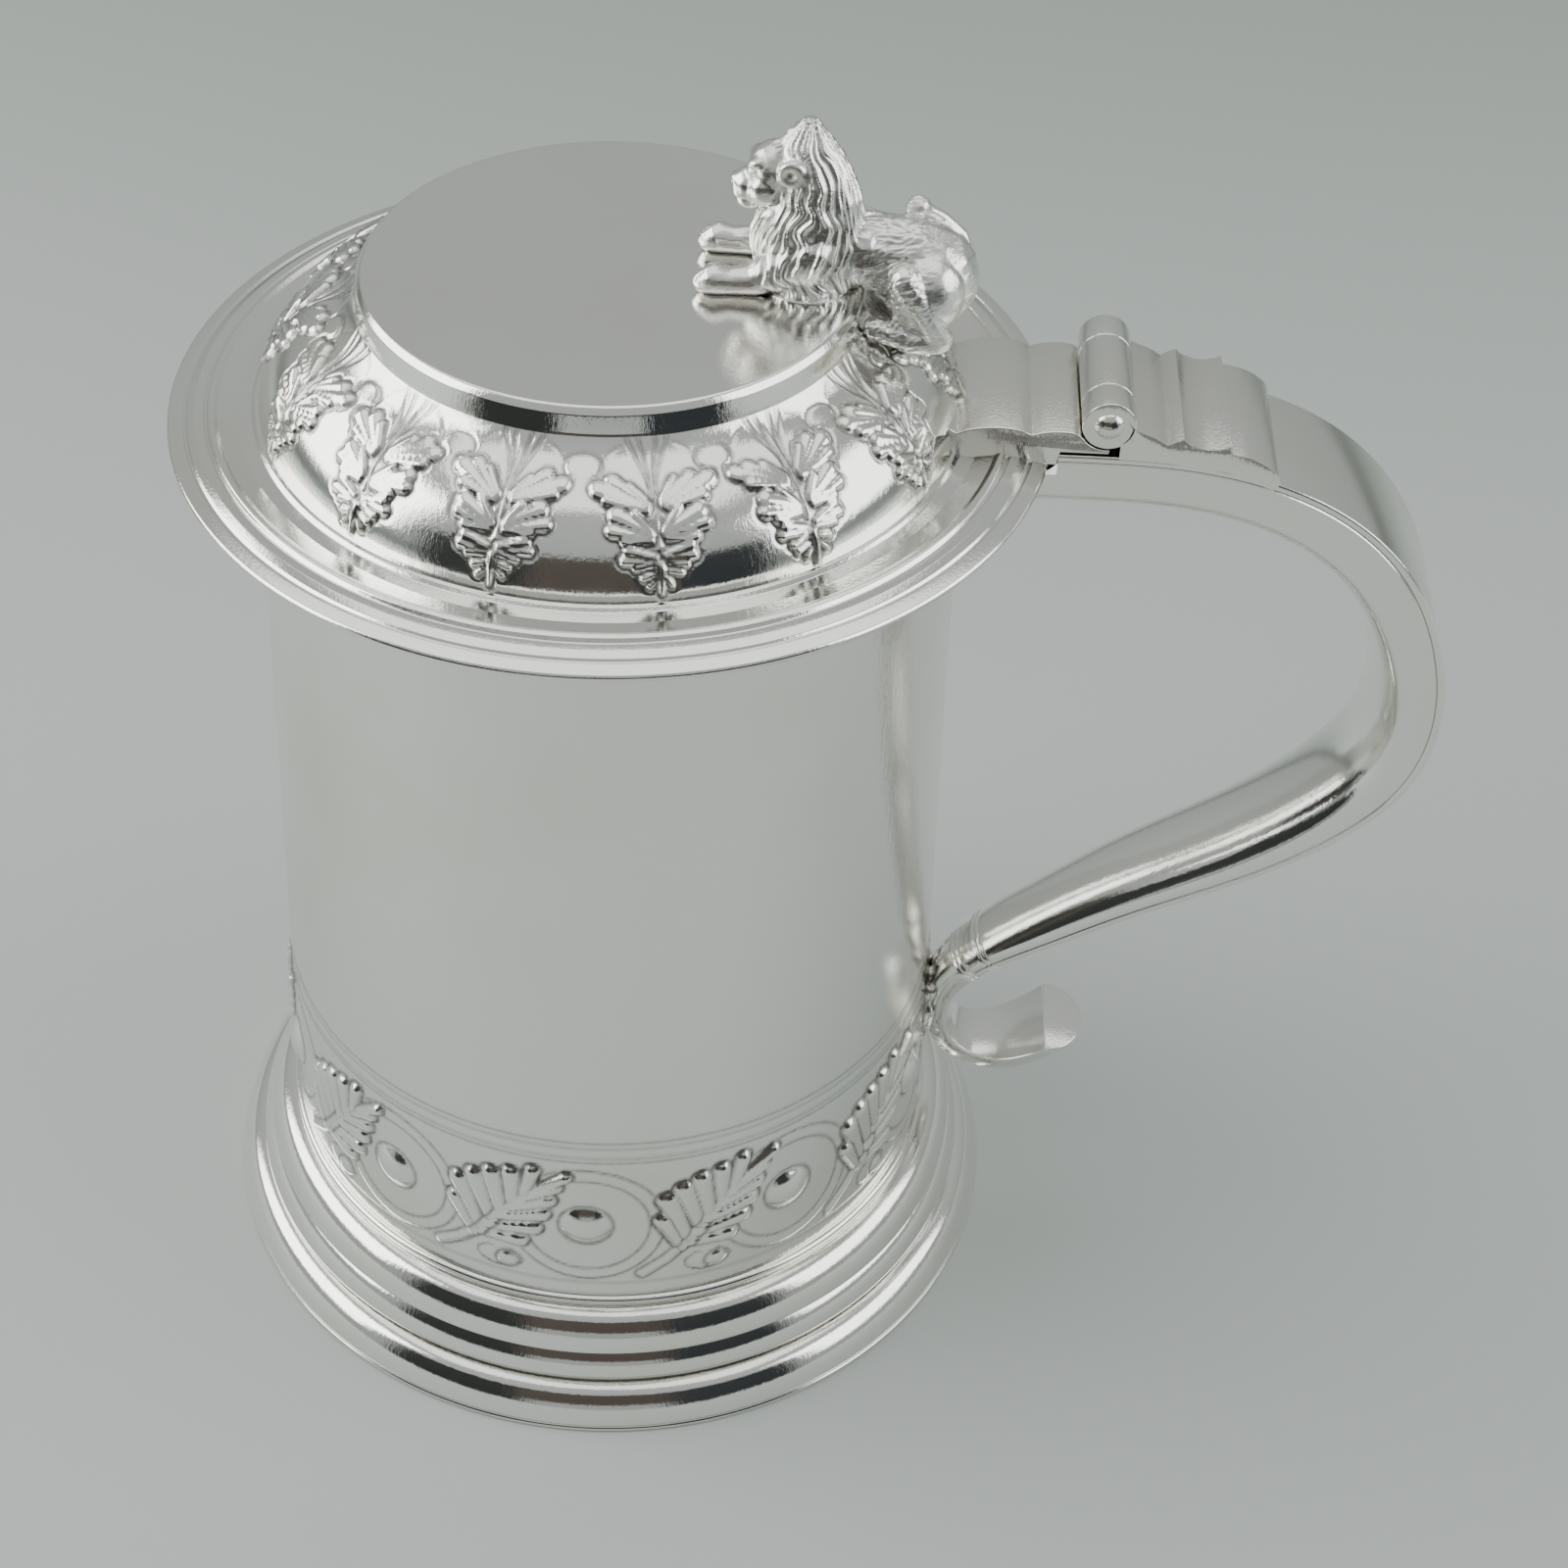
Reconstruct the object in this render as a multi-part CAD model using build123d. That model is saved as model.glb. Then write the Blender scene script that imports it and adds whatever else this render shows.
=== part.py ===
from build123d import *
import math
import os

# Lidded silver tankard: tapered drum, moulded foot, hollow S-handle and a hinged lid with a lion.
# Millimetres, +Z up. The origin is on the drum's axis, on the plane the foot stands on.
# The handle and the hinge lie along +X. Each node is written to its own STEP file.

# Drum
MOUTH_Z = 157.4
MOUTH_R = 51.2
TAPER = 0.0246
WALL = 1.0
FLOOR_Z = 19.6
FLOOR_THICK = 1.3
LIP_DEPTH = 7.0
LIP_PROUD = 1.0

# Foot
FOOT_R = 66.3
FLANGE_THICK = 1.25
SKIRT_TOP_Z = 7.4
MOULDING_TOP_Z = 19.0
TORUS_R = 3.6
FALL_R = 8.8
FALL_FROM = 41.0
FALL_TO = 8.0
UPPER_TORUS = (55.2, MOULDING_TOP_Z - TORUS_R)
LOWER_TORUS = (61.2, 3.8)
STEP_R = 7.5
STEP_TOP = (60.0, 12.5)
SKIRT_R = 60.6
SKIRT_BORE_R = 58.2
SKIRT_SHEET = 1.3
RIM_BORE_R = 60.5
BEAD_R = 0.8

# Lid
BRIM_R = 64.0
BRIM_UNDER_Z = 157.7
BRIM_BORE_R = 48.3
DOME_FOOT_Z = 160.2
SHEET = 1.0
BULGE_R = 17.0
BULGE_CENTRE = (33.9, 157.9)
BULGE_FROM = 7.0
BULGE_TO = 68.0
NECK_R = 9.0
SEAM_ANGLE = 34.0
CROWN_TOP_Z = 180.9
CROWN_ROUND = 0.9
CROWN_SHEET = 1.2
COLLAR_LEAN = 0.7
BEZEL_DEPTH = 4.2
BEZEL_R = 49.2
BEZEL_SHEET = 1.0

# Brim: radius, and height over its underside, from its bore out to its edge and back in
BRIM_SIDE = [
    (BRIM_BORE_R, 0),
    (63.2, 0),
    (63.8, 0.3),
    (BRIM_R, 0.9),
    (63.7, 1.4),
    (61.6, 1.8),
    (61.3, 1.5),
    (61.0, 1.9),
    (59.8, 2.4),
    (58.6, 2.5),
    (58.3, 2.2),
    (57.9, 2.9),
    (57.3, 3.0),
    (56.4, 2.6),
    (53.5, 2.1),
    (51.5, 2.2),
    (50.9, 2.5),
    (49.6, 2.5),
    (BRIM_BORE_R, 1.5),
]

# Hinge
AXIS_X = 70.7
AXIS_Z = 165.9
KNUCKLE_R = 3.75
PIN_R = 1.5
PIN_GAP = 0.05
HEAD_R = 2.1
HEAD_RISE = 1.0
HINGE_HALF = 11.5
CENTRE_HALF = 6.4
SIDE_GAP = 0.1
SWEEP_GAP = 0.25

# Side outline of the plate on the lid, x and z: ogee, large pad, small pad, lip under the barrel
PLATE_SIDE = [
    (44.0, 158.0),
    (44.0, 164.0),
    (48.6, 164.3),
    (49.9, 163.7),
    (52.0, 164.4),
    (55.5, 164.8),
    (58.4, 164.6),
    (60.3, 164.0),
    (62.5, 164.4),
    (65.0, 164.6),
    (67.5, 164.5),
    (71.4, 162.2),
    (71.2, 161.2),
    (62.0, 161.2),
    (62.0, 158.0),
]
ARM_SIDE = [(66.0, 162.9), (66.0, 164.5), (69.0, 165.9), (69.0, 163.6)]

# Side outline of the bracket on the handle, x and z: cheek, ridge, hollow, lip, step, tip
BRACKET_SIDE = [
    (73.2, 158.0),
    (73.2, 162.0),
    (73.8, 165.6),
    (75.3, 165.0),
    (77.4, 164.2),
    (79.1, 163.3),
    (80.2, 164.1),
    (81.2, 164.4),
    (82.4, 163.4),
    (84.4, 162.9),
    (86.3, 163.1),
    (87.9, 163.6),
    (88.3, 162.4),
    (90.6, 161.8),
    (93.0, 160.7),
    (94.8, 159.3),
    (95.3, 157.0),
]

# Handle: back face x and z, half width, depth of the section, depth of its straight side
HANDLE = [
    (44.0, 160.6, 11.5, 11.0, 6.3),
    (64.8, 160.7, 11.5, 11.0, 6.3),
    (80.0, 160.5, 11.5, 11.0, 6.3),
    (95.3, 157.6, 11.5, 11.0, 6.5),
    (106.8, 152.0, 11.5, 10.8, 6.8),
    (116.4, 142.7, 11.4, 10.5, 7.0),
    (123.0, 129.6, 11.3, 10.2, 6.8),
    (125.6, 115.0, 11.0, 9.8, 5.6),
    (123.2, 101.8, 10.6, 9.4, 4.0),
    (115.0, 90.0, 10.0, 8.8, 2.6),
    (101.4, 78.9, 9.2, 7.8, 2.2),
    (85.1, 68.5, 8.2, 6.9, 2.0),
    (71.7, 58.7, 7.1, 6.0, 1.9),
    (62.6, 51.2, 6.2, 5.0, 1.8),
    (58.6, 45.1, 5.4, 4.4, 0.8),
    (57.8, 38.6, 4.9, 3.8, 0.7),
    (60.4, 33.0, 4.8, 5.0, 0.7),
    (66.0, 31.6, 6.2, 5.6, 0.7),
    (71.5, 34.0, 7.3, 5.2, 0.7),
    (74.9, 36.6, 7.9, 4.6, 0.7),
]
HOLLOW_END = 13
STRAP = 1.2
SHELL = 1.1
SHIELD_LENGTH = 6.2
SHIELD_THICK = 2.8
BLOCK_REACH = (46.0, 74.0)
BRIM_CLEAR = 0.6

# Control arm of a cubic that draws a quarter ellipse
ROUND = 0.5523


def drum_r(z):
    """Outer radius of the drum at height z."""
    return MOUTH_R + TAPER * (MOUTH_Z - z)


def largest(shape):
    """Biggest solid of a shape, without the slivers a cut can leave."""
    return max(shape.solids(), key=lambda solid: solid.volume)


def ring(points):
    """Solid of revolution about Z from a closed outline of (r, z) points."""
    with BuildPart() as made:
        with BuildSketch(Plane.XZ):
            with BuildLine():
                Polyline(*points, close=True)
            make_face()
        revolve(axis=Axis.Z)
    return made.part


def turned(*edges):
    """Solid of revolution about Z from edges that close an outline in the XZ plane."""
    return revolve(Plane.XZ * make_face(Curve() + list(edges)), Axis.Z)


def on_circle(centre, radius, degrees):
    """Point at an angle on a circle in an (r, z) outline."""
    angle = math.radians(degrees)
    return (centre[0] + radius * math.cos(angle), centre[1] + radius * math.sin(angle))


def arc(centre, radius, start, end):
    """Arc between two angles on a circle in an (r, z) outline."""
    middle = (start + end) / 2
    return ThreePointArc(*[on_circle(centre, radius, a) for a in (start, middle, end)])


def path(*points):
    """Open run of straight edges in an (r, z) outline."""
    return Polyline(*points).edges()


def cylinder(radius, low, high):
    """Upright cylinder on the drum's axis between two heights."""
    return Pos(0, 0, (low + high) / 2) * Cylinder(radius, high - low)


def barrel(radius, low, high):
    """Cylinder on the hinge axis between two y values."""
    low, high = sorted((low, high))
    place = Pos(AXIS_X, (low + high) / 2, AXIS_Z) * Rot(90, 0, 0)
    return place * Cylinder(radius, high - low)


def plate(points, half_width):
    """Side outline in (x, z) given a width centred on y = 0."""
    with BuildPart() as made:
        with BuildSketch(Plane.XZ):
            with BuildLine():
                Polyline(*points, close=True)
            make_face()
        extrude(amount=half_width, both=True)
    return made.part


# ---------------------------------------------------------------- drum

def drum_wall():
    low = MOULDING_TOP_Z
    return ring([
        (drum_r(low) - WALL, low),
        (drum_r(low), low),
        (MOUTH_R, MOUTH_Z),
        (MOUTH_R - WALL, MOUTH_Z),
    ])


def drum_bottom():
    top = FLOOR_Z + FLOOR_THICK
    return ring([(0, FLOOR_Z), (drum_r(FLOOR_Z) - WALL, FLOOR_Z), (drum_r(top) - WALL, top), (0, top)])


def drum_envelope():
    return ring([(0, 0), (drum_r(0), 0), (MOUTH_R, MOUTH_Z), (0, MOUTH_Z)])


def lip_band():
    low = MOUTH_Z - LIP_DEPTH
    return ring([
        (drum_r(low), low),
        (drum_r(low) + LIP_PROUD * 0.6, low + 0.5),
        (drum_r(low) + LIP_PROUD * 0.7, low + 2.4),
        (MOUTH_R + LIP_PROUD, MOUTH_Z - 2.6),
        (MOUTH_R + LIP_PROUD, MOUTH_Z - 0.6),
        (MOUTH_R + LIP_PROUD * 0.7, MOUTH_Z),
        (MOUTH_R, MOUTH_Z),
    ])


# ---------------------------------------------------------------- foot

def foot_bead():
    """Half-round wire against the wall, over the joint between wall and foot."""
    low = MOULDING_TOP_Z
    high = MOULDING_TOP_Z + 2 * BEAD_R
    centre = (drum_r(low + BEAD_R), low + BEAD_R)
    round_face = ThreePointArc((drum_r(low), low), (centre[0] + BEAD_R, centre[1]), (drum_r(high), high))
    return turned(round_face, Line((drum_r(high), high), (drum_r(low), low)))


def fall_centre(centre):
    """Centre of the flatter arc that carries a rounded moulding on down."""
    return on_circle(centre, TORUS_R - FALL_R, FALL_FROM)


def foot_upper_moulding():
    """Rounded moulding and the smaller step below it, hollow behind."""
    fall = fall_centre(UPPER_TORUS)
    low = on_circle(fall, FALL_R, FALL_TO)
    step = on_circle(STEP_TOP, -STEP_R, FALL_FROM)
    toe = on_circle(step, STEP_R, FALL_TO)
    back_r = drum_r(MOULDING_TOP_Z) - 2 * WALL
    return turned(
        arc(UPPER_TORUS, TORUS_R, 90, FALL_FROM),
        arc(fall, FALL_R, FALL_FROM, FALL_TO),
        *path(low, (low[0] - 0.05, low[1] - 0.5), STEP_TOP),
        arc(step, STEP_R, FALL_FROM, FALL_TO),
        *path(toe, (toe[0] - 0.2, toe[1] - 0.6), (SKIRT_R, toe[1] - 0.8), (SKIRT_R, SKIRT_TOP_Z),
              (SKIRT_BORE_R, SKIRT_TOP_Z), (SKIRT_BORE_R - 0.2, 10.6), (57.2, 13.0), (55.4, 14.6),
              (back_r, UPPER_TORUS[1]), (back_r, MOULDING_TOP_Z), on_circle(UPPER_TORUS, TORUS_R, 90)),
    )


def foot_skirt():
    """Spreading lower moulding, a bent sheet that is open behind."""
    inner = TORUS_R - SKIRT_SHEET
    top = 99.6
    back = 150.0
    fall = fall_centre(LOWER_TORUS)
    toe = on_circle(fall, FALL_R, FALL_TO)
    heel = on_circle(fall, FALL_R - SKIRT_SHEET, FALL_TO + 2)
    return turned(
        arc(LOWER_TORUS, TORUS_R, top, FALL_FROM),
        arc(fall, FALL_R, FALL_FROM, FALL_TO),
        *path(toe, (toe[0], FLANGE_THICK), (heel[0], FLANGE_THICK), heel),
        arc(fall, FALL_R - SKIRT_SHEET, FALL_TO + 2, FALL_FROM),
        arc(LOWER_TORUS, inner, FALL_FROM, back),
        *path(on_circle(LOWER_TORUS, inner, back), (SKIRT_BORE_R, SKIRT_TOP_Z - 2.2),
              (SKIRT_BORE_R, SKIRT_TOP_Z), on_circle(LOWER_TORUS, TORUS_R, top)),
    )


def foot_rim():
    """Flat rim that the tankard stands on."""
    edge = 0.3
    toe = on_circle(fall_centre(LOWER_TORUS), FALL_R, FALL_TO)
    return ring([
        (RIM_BORE_R, 0),
        (FOOT_R - edge, 0),
        (FOOT_R, edge),
        (FOOT_R, FLANGE_THICK - 2 * edge),
        (FOOT_R - edge, FLANGE_THICK - edge),
        (toe[0], FLANGE_THICK),
        (RIM_BORE_R, FLANGE_THICK),
    ])


# ---------------------------------------------------------------- lid

def lid_brim():
    return ring([(r, BRIM_UNDER_Z + rise) for r, rise in BRIM_SIDE])


def neck_centre():
    """Centre of the concave neck that follows the dome's bulge."""
    return on_circle(BULGE_CENTRE, BULGE_R + NECK_R, BULGE_TO)


def dome_outline(inset):
    """Edges of the dome's outer face, or of its inner face with inset as the sheet's thickness."""
    neck = neck_centre()
    bulge = arc(BULGE_CENTRE, BULGE_R - inset, BULGE_FROM, BULGE_TO)
    hollow = arc(neck, NECK_R + inset, 180 + BULGE_TO, 180 + SEAM_ANGLE)
    return bulge, hollow


def lid_dome():
    """Raised sheet dome, with its foot trimmed flat where it stands on the brim."""
    outer, outer_neck = dome_outline(0)
    inner, inner_neck = dome_outline(SHEET)
    sheet = turned(
        outer,
        outer_neck,
        Line(outer_neck @ 1, inner_neck @ 1),
        inner_neck,
        inner,
        Line(inner @ 0, outer @ 0),
    )
    return sheet - cylinder(BRIM_R, DOME_FOOT_Z - 2, DOME_FOOT_Z)


def dome_envelope():
    """Everything under the dome's outer face, as one cutting tool."""
    outer, outer_neck = dome_outline(0)
    foot = outer @ 0
    seam = outer_neck @ 1
    return turned(
        outer,
        outer_neck,
        *path((seam.X, seam.Y), (0, seam.Y), (0, foot.Y), (foot.X, foot.Y)),
    )


def seam_point():
    """Where the crown's collar meets the dome's neck."""
    return on_circle(neck_centre(), NECK_R, 180 + SEAM_ANGLE)


def lid_crown():
    """Flat top of the lid and its collar, which stands on the dome's neck."""
    seam_r, seam_z = seam_point()
    rim = (seam_r - COLLAR_LEAN - CROWN_ROUND, CROWN_TOP_Z - CROWN_ROUND)
    under = CROWN_TOP_Z - CROWN_SHEET
    inner_r, inner_z = on_circle(neck_centre(), NECK_R + SHEET, 180 + SEAM_ANGLE)
    return turned(
        *path((seam_r, seam_z), (rim[0] + CROWN_ROUND, rim[1])),
        arc(rim, CROWN_ROUND, 0, 90),
        *path((rim[0], CROWN_TOP_Z), (0, CROWN_TOP_Z), (0, under), (inner_r - CROWN_SHEET, under),
              (inner_r, inner_z), (seam_r, seam_z)),
    )


def lid_bezel():
    """Ring under the brim that steps into the mouth, with a chamfered lower edge."""
    low = BRIM_UNDER_Z - BEZEL_DEPTH
    bore = BEZEL_R - BEZEL_SHEET
    return ring([
        (bore, low),
        (BEZEL_R - 0.3, low),
        (BEZEL_R, low + 1.0),
        (BEZEL_R, BRIM_UNDER_Z),
        (bore, BRIM_UNDER_Z),
    ])


def lid_hinge_plate():
    """Plate from the dome to the hinge, shaped to the brim, with an arm to the middle knuckle."""
    clear = barrel(KNUCKLE_R + SWEEP_GAP, -2 * HINGE_HALF, 2 * HINGE_HALF)
    body = plate(PLATE_SIDE, HINGE_HALF)
    body -= lid_brim() + dome_envelope()
    body -= cylinder(BRIM_BORE_R + 1, BRIM_UNDER_Z - 1, DOME_FOOT_Z + 1)
    arm = plate(ARM_SIDE, CENTRE_HALF - SIDE_GAP)
    arm -= barrel(KNUCKLE_R, -HINGE_HALF, HINGE_HALF)
    return largest((body - clear) + arm - lid_dome())


def hinge_knuckle_centre():
    half = CENTRE_HALF - SIDE_GAP
    return barrel(KNUCKLE_R, -half, half) - barrel(PIN_R + PIN_GAP, -half, half)


# ---------------------------------------------------------------- lion

def limb(start, end, radius):
    """Rounded limb between two points."""
    way = Vector(*end) - Vector(*start)
    middle = Vector(*start) + way * 0.5
    shaft = Plane(origin=middle, z_dir=way.normalized()) * Cylinder(radius, way.length)
    return shaft + Pos(*start) * Sphere(radius) + Pos(*end) * Sphere(radius)


def lion_thumbpiece():
    body = limb((24.5, 0, 188.5), (44.0, 0, 184.5), 7.0)
    body += limb((24.5, 0, 189.0), (26.0, 0, 198.5), 6.4)
    body += Pos(27.0, 0, 200.2) * Cone(4.6, 1.2, 10.6)
    body += limb((18.0, 0, 195.0), (21.5, 0, 196.5), 2.9)
    body += limb((45.0, 0, 180.5), (44.0, 0, 184.5), 6.6)
    for side in (-1, 1):
        body += limb((14.0, 5.4 * side, 183.0), (24.0, 5.0 * side, 185.0), 2.3)
        body += limb((43.5, 4.6 * side, 179.0), (44.0, 4.2 * side, 182.0), 5.0)
        body += limb((36.5, 7.4 * side, 173.6), (44.5, 6.8 * side, 173.8), 2.6)
    body += limb((40.0, 5.4, 188.0), (41.8, 6.2, 190.0), 1.6)
    body -= cylinder(60, 140, CROWN_TOP_Z) & cylinder(seam_point()[0], 140, CROWN_TOP_Z)
    body -= dome_envelope() + lid_crown()
    return largest(body)


# ---------------------------------------------------------------- handle

def back_curve():
    """Spline of the handle's flat back face in the XZ plane."""
    return Spline(*[(x, 0, z) for x, z, *_ in HANDLE])


def frames():
    """Section plane at each station: x across the handle, y into its depth."""
    curve = back_curve()
    planes = []
    for x, z, *_ in HANDLE:
        here = Vector(x, 0, z)
        way = curve.tangent_at(curve.param_at_point(here))
        planes.append(Plane(origin=here, x_dir=(0, -1, 0), z_dir=way))
    return planes


def section(station, plane, top, trim):
    """D-shaped face that starts at depth top, with trim taken off its sides and its rounded bottom."""
    _, _, width, depth, side = station
    half = width - trim
    low = depth - trim
    swell = ROUND * (low - side)
    spread = ROUND * half
    outline = [
        Line((half, top), (half, side)),
        Bezier((half, side), (half, side + swell), (spread, low), (0, low)),
        Bezier((0, low), (-spread, low), (-half, side + swell), (-half, side)),
        Line((-half, side), (-half, top)),
        Line((-half, top), (half, top)),
    ]
    return plane * make_face(Curve() + outline)


def lofted(first, last, top, trim):
    """Loft of the D sections between two stations."""
    stations = list(zip(HANDLE, frames()))[first:last + 1]
    return loft([section(station, plane, top, trim) for station, plane in stations])


def whole_strap():
    """Loft of the flat back strap, before it is trimmed."""
    stations = list(zip(HANDLE, frames()))[:HOLLOW_END + 1]
    return loft([plane * Pos(0, STRAP / 2) * Rectangle(2 * width, STRAP)
                 for (_, _, width, _, _), plane in stations])


def under_brim():
    """Room that the lid's brim needs above the handle's upper end."""
    return cylinder(BRIM_R + BRIM_CLEAR, MOUTH_Z, AXIS_Z)


def fitted(shape):
    """Trim a handle piece to the drum, its lip band and the brim."""
    return shape - drum_envelope() - lip_band() - under_brim()


def handle_back_strap():
    return fitted(whole_strap())


def handle_shell():
    outer = lofted(0, HOLLOW_END, STRAP, 0)
    inner = lofted(0, HOLLOW_END, STRAP, SHELL)
    return largest(fitted(outer - inner - whole_strap()))


def handle_joint_block():
    """Solid block inside the handle's upper end, where it is soldered to the drum."""
    inner = lofted(0, HOLLOW_END, STRAP, SHELL)
    near, far = BLOCK_REACH
    reach = Pos((near + far) / 2, 0, MOUTH_Z) * Box(far - near, 3 * HINGE_HALF, 2 * HINGE_HALF)
    return fitted((inner & reach) - whole_strap())


def handle_scroll():
    return lofted(HOLLOW_END, len(HANDLE) - 1, 0, 0) - drum_envelope()


def scroll_shield():
    """Half-round end plate of the scroll."""
    x, z, half, _, _ = HANDLE[-1]
    back = x - SHIELD_THICK
    outline = [
        Line((back, -half), (x, -half)),
        Bezier((x, -half), (x + ROUND * SHIELD_LENGTH, -half),
               (x + SHIELD_LENGTH, -ROUND * half), (x + SHIELD_LENGTH, 0)),
        Bezier((x + SHIELD_LENGTH, 0), (x + SHIELD_LENGTH, ROUND * half),
               (x + ROUND * SHIELD_LENGTH, half), (x, half)),
        Line((x, half), (back, half)),
        Line((back, half), (back, -half)),
    ]
    blank = extrude(Pos(0, 0, z) * make_face(Curve() + outline), amount=-SHIELD_THICK)
    return largest(split(blank, bisect_by=frames()[-1], keep=Keep.TOP))


# ---------------------------------------------------------------- hinge on the handle

def hinge_bracket():
    """Bracket on the handle that carries the two outer knuckles."""
    body = plate(BRACKET_SIDE, HINGE_HALF)
    body -= barrel(KNUCKLE_R, -HINGE_HALF, HINGE_HALF)
    body -= barrel(KNUCKLE_R + SWEEP_GAP, -CENTRE_HALF, CENTRE_HALF)
    return largest(body - whole_strap() - lofted(0, HOLLOW_END, 0, 0))


def outer_knuckle(side):
    inner = CENTRE_HALF * side
    outer = HINGE_HALF * side
    return barrel(KNUCKLE_R, inner, outer) - barrel(PIN_R, inner, outer)


def hinge_knuckle_near():
    return outer_knuckle(-1)


def hinge_knuckle_far():
    return outer_knuckle(1)


def hinge_pin():
    """Pin with a low domed head on each end face of the barrel."""
    dome_r = (HEAD_R**2 + HEAD_RISE**2) / (2 * HEAD_RISE)
    pin = barrel(PIN_R, -HINGE_HALF, HINGE_HALF)
    for side in (-1, 1):
        centre_y = side * (HINGE_HALF + HEAD_RISE - dome_r)
        dome = Pos(AXIS_X, centre_y, AXIS_Z) * Sphere(dome_r)
        pin += dome & barrel(HEAD_R, side * HINGE_HALF, side * (HINGE_HALF + HEAD_RISE))
    return pin


NODES = [
    drum_wall,
    drum_bottom,
    lip_band,
    foot_bead,
    foot_upper_moulding,
    foot_skirt,
    foot_rim,
    handle_shell,
    handle_back_strap,
    handle_joint_block,
    handle_scroll,
    scroll_shield,
    hinge_bracket,
    hinge_knuckle_near,
    hinge_knuckle_far,
    hinge_pin,
    lid_brim,
    lid_dome,
    lid_crown,
    lid_bezel,
    lid_hinge_plate,
    hinge_knuckle_centre,
    lion_thumbpiece,
]

os.makedirs("parts", exist_ok=True)
for make in NODES:
    shape = make()
    export_step(shape, f"parts/{make.__name__}.step")
    box = shape.bounding_box()
    print(f"{make.__name__:22s} {shape.volume:9.1f} mm3  {box.min} {box.max}", flush=True)
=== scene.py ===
import math

import bmesh
import bpy
import numpy as np
from mathutils import Matrix, Vector
from mathutils import noise as mathutils_noise


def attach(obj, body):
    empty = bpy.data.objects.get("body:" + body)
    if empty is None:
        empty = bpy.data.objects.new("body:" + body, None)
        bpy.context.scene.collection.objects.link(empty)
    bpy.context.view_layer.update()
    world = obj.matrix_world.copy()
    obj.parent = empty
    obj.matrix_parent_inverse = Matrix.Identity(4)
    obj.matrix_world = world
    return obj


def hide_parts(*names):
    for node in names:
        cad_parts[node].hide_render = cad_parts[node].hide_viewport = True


# A polished silver tankard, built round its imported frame. Shapes are worked out in millimetres
# and scaled to metres as each mesh is finished. +Z is up, and the hinge and handle lie along +X.

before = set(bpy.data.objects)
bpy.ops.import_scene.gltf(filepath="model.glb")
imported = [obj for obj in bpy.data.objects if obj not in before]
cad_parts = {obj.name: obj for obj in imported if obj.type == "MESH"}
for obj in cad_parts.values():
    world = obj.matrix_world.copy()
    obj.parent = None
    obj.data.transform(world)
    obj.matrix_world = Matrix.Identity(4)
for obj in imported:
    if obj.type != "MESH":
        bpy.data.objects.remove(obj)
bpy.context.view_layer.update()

MM = 0.001
TURN_STEPS = 384
FULL_TURN = 2 * math.pi

# Camera
CAMERA_PLACE = (0.0318, -0.3492, 0.3957)
CAMERA_TARGET = (0, 0, 0.0837)
CAMERA_LENS = 66.38
CAMERA_SHIFT = 0.111

# Floor and tent
FLOOR_WIDTH = 18.0
FLOOR_COLOUR = (0.42, 0.45, 0.435)
# Painted shade: the floor colour far behind the tankard, where less light falls
FLOOR_FAR_SHADE = (0.31, 0.34, 0.32)
TENT_LOW = (0.60, 0.64, 0.62)
TENT_HIGH = (0.84, 0.88, 0.86)
TENT_STRENGTH = 0.62

# Lights: place, size, power and colour
LIT_SPOT = (0, 0, 0.1)
LIGHTS = [
    ("tent_left", (-0.95, -0.02, 0.60), (1.1, 0.8), 12.5, (1.0, 1.0, 0.98)),
    ("tent_right", (0.95, -0.12, 0.52), (0.9, 0.7), 6.0, (0.97, 1.0, 1.0)),
    ("tent_top", (0.0, 0.10, 1.2), (1.3, 1.3), 5.5, (1.0, 1.0, 0.98)),
]

# Dark cards that the metal mirrors: place, width, height and colour
CARDS = [
    ("dark_left", (-0.31, -0.46, 0.16), 0.36, 0.38, (0.022, 0.025, 0.024)),
    ("dark_right", (0.34, -0.46, 0.16), 0.34, 0.38, (0.020, 0.024, 0.030)),
    ("dark_middle", (0.01, -0.50, 0.215), 0.36, 0.27, (0.075, 0.058, 0.050)),
]
# Dark sheet on the floor in front, seen only in reflections: painted shadow standing in for the
# shade on the floor there
FLOOR_SHADOW_CARD = ((0.0, -0.39, 0.002), 1.1, 0.13, (0.13, 0.13, 0.125))

# Metal
SILVER_COLOUR = (0.885, 0.880, 0.845)
STAIN_COLOUR = (0.800, 0.770, 0.680)
# Painted shade: the colour the chased and cast silver take in their recesses and grooves
RECESS_SHADE_COLOUR = (0.105, 0.100, 0.090)
INSIDE_DULLNESS = 0.4

# Drum
MOUTH_Z = 157.4
MOUTH_R = 51.2
TAPER = 0.0246
WALL = 1.0
BASE_Z = 19.6
BASE_THICK = 1.3
BAND_DEPTH = 7.0

# Foot: two rounded mouldings, each a tight arc that goes on into a flatter fall
FOOT_TOP_Z = 19.0
UPPER_ROUND = (55.2, 15.4)
LOWER_ROUND = (61.2, 3.8)
TORUS_R = 3.6
FALL_R = 8.8
FALL_FROM = 41.0
FALL_TO = 8.0
STEP_R = 7.5
STEP_TOP = (60.0, 12.5)
SKIRT_TOP_Z = 7.4
SKIRT_R = 60.6
SKIRT_BORE_R = 58.2
SKIRT_THICK = 1.3
FLANGE_TOP_Z = 1.25

# Lid
BRIM_UNDER_Z = 157.7
BRIM_R = 64.0
BRIM_BORE_R = 48.3
BULGE_CENTRE = (33.9, 157.9)
BULGE_R = 17.0
BULGE_FROM = 7.0
BULGE_TO = 68.0
NECK_R = 9.0
SEAM_ANGLE = 34.0
SHEET = 1.0
CROWN_TOP_Z = 180.9
CROWN_THICK = 1.2
COLLAR_LEAN = 0.45
BEZEL_DEPTH = 4.2

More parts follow.
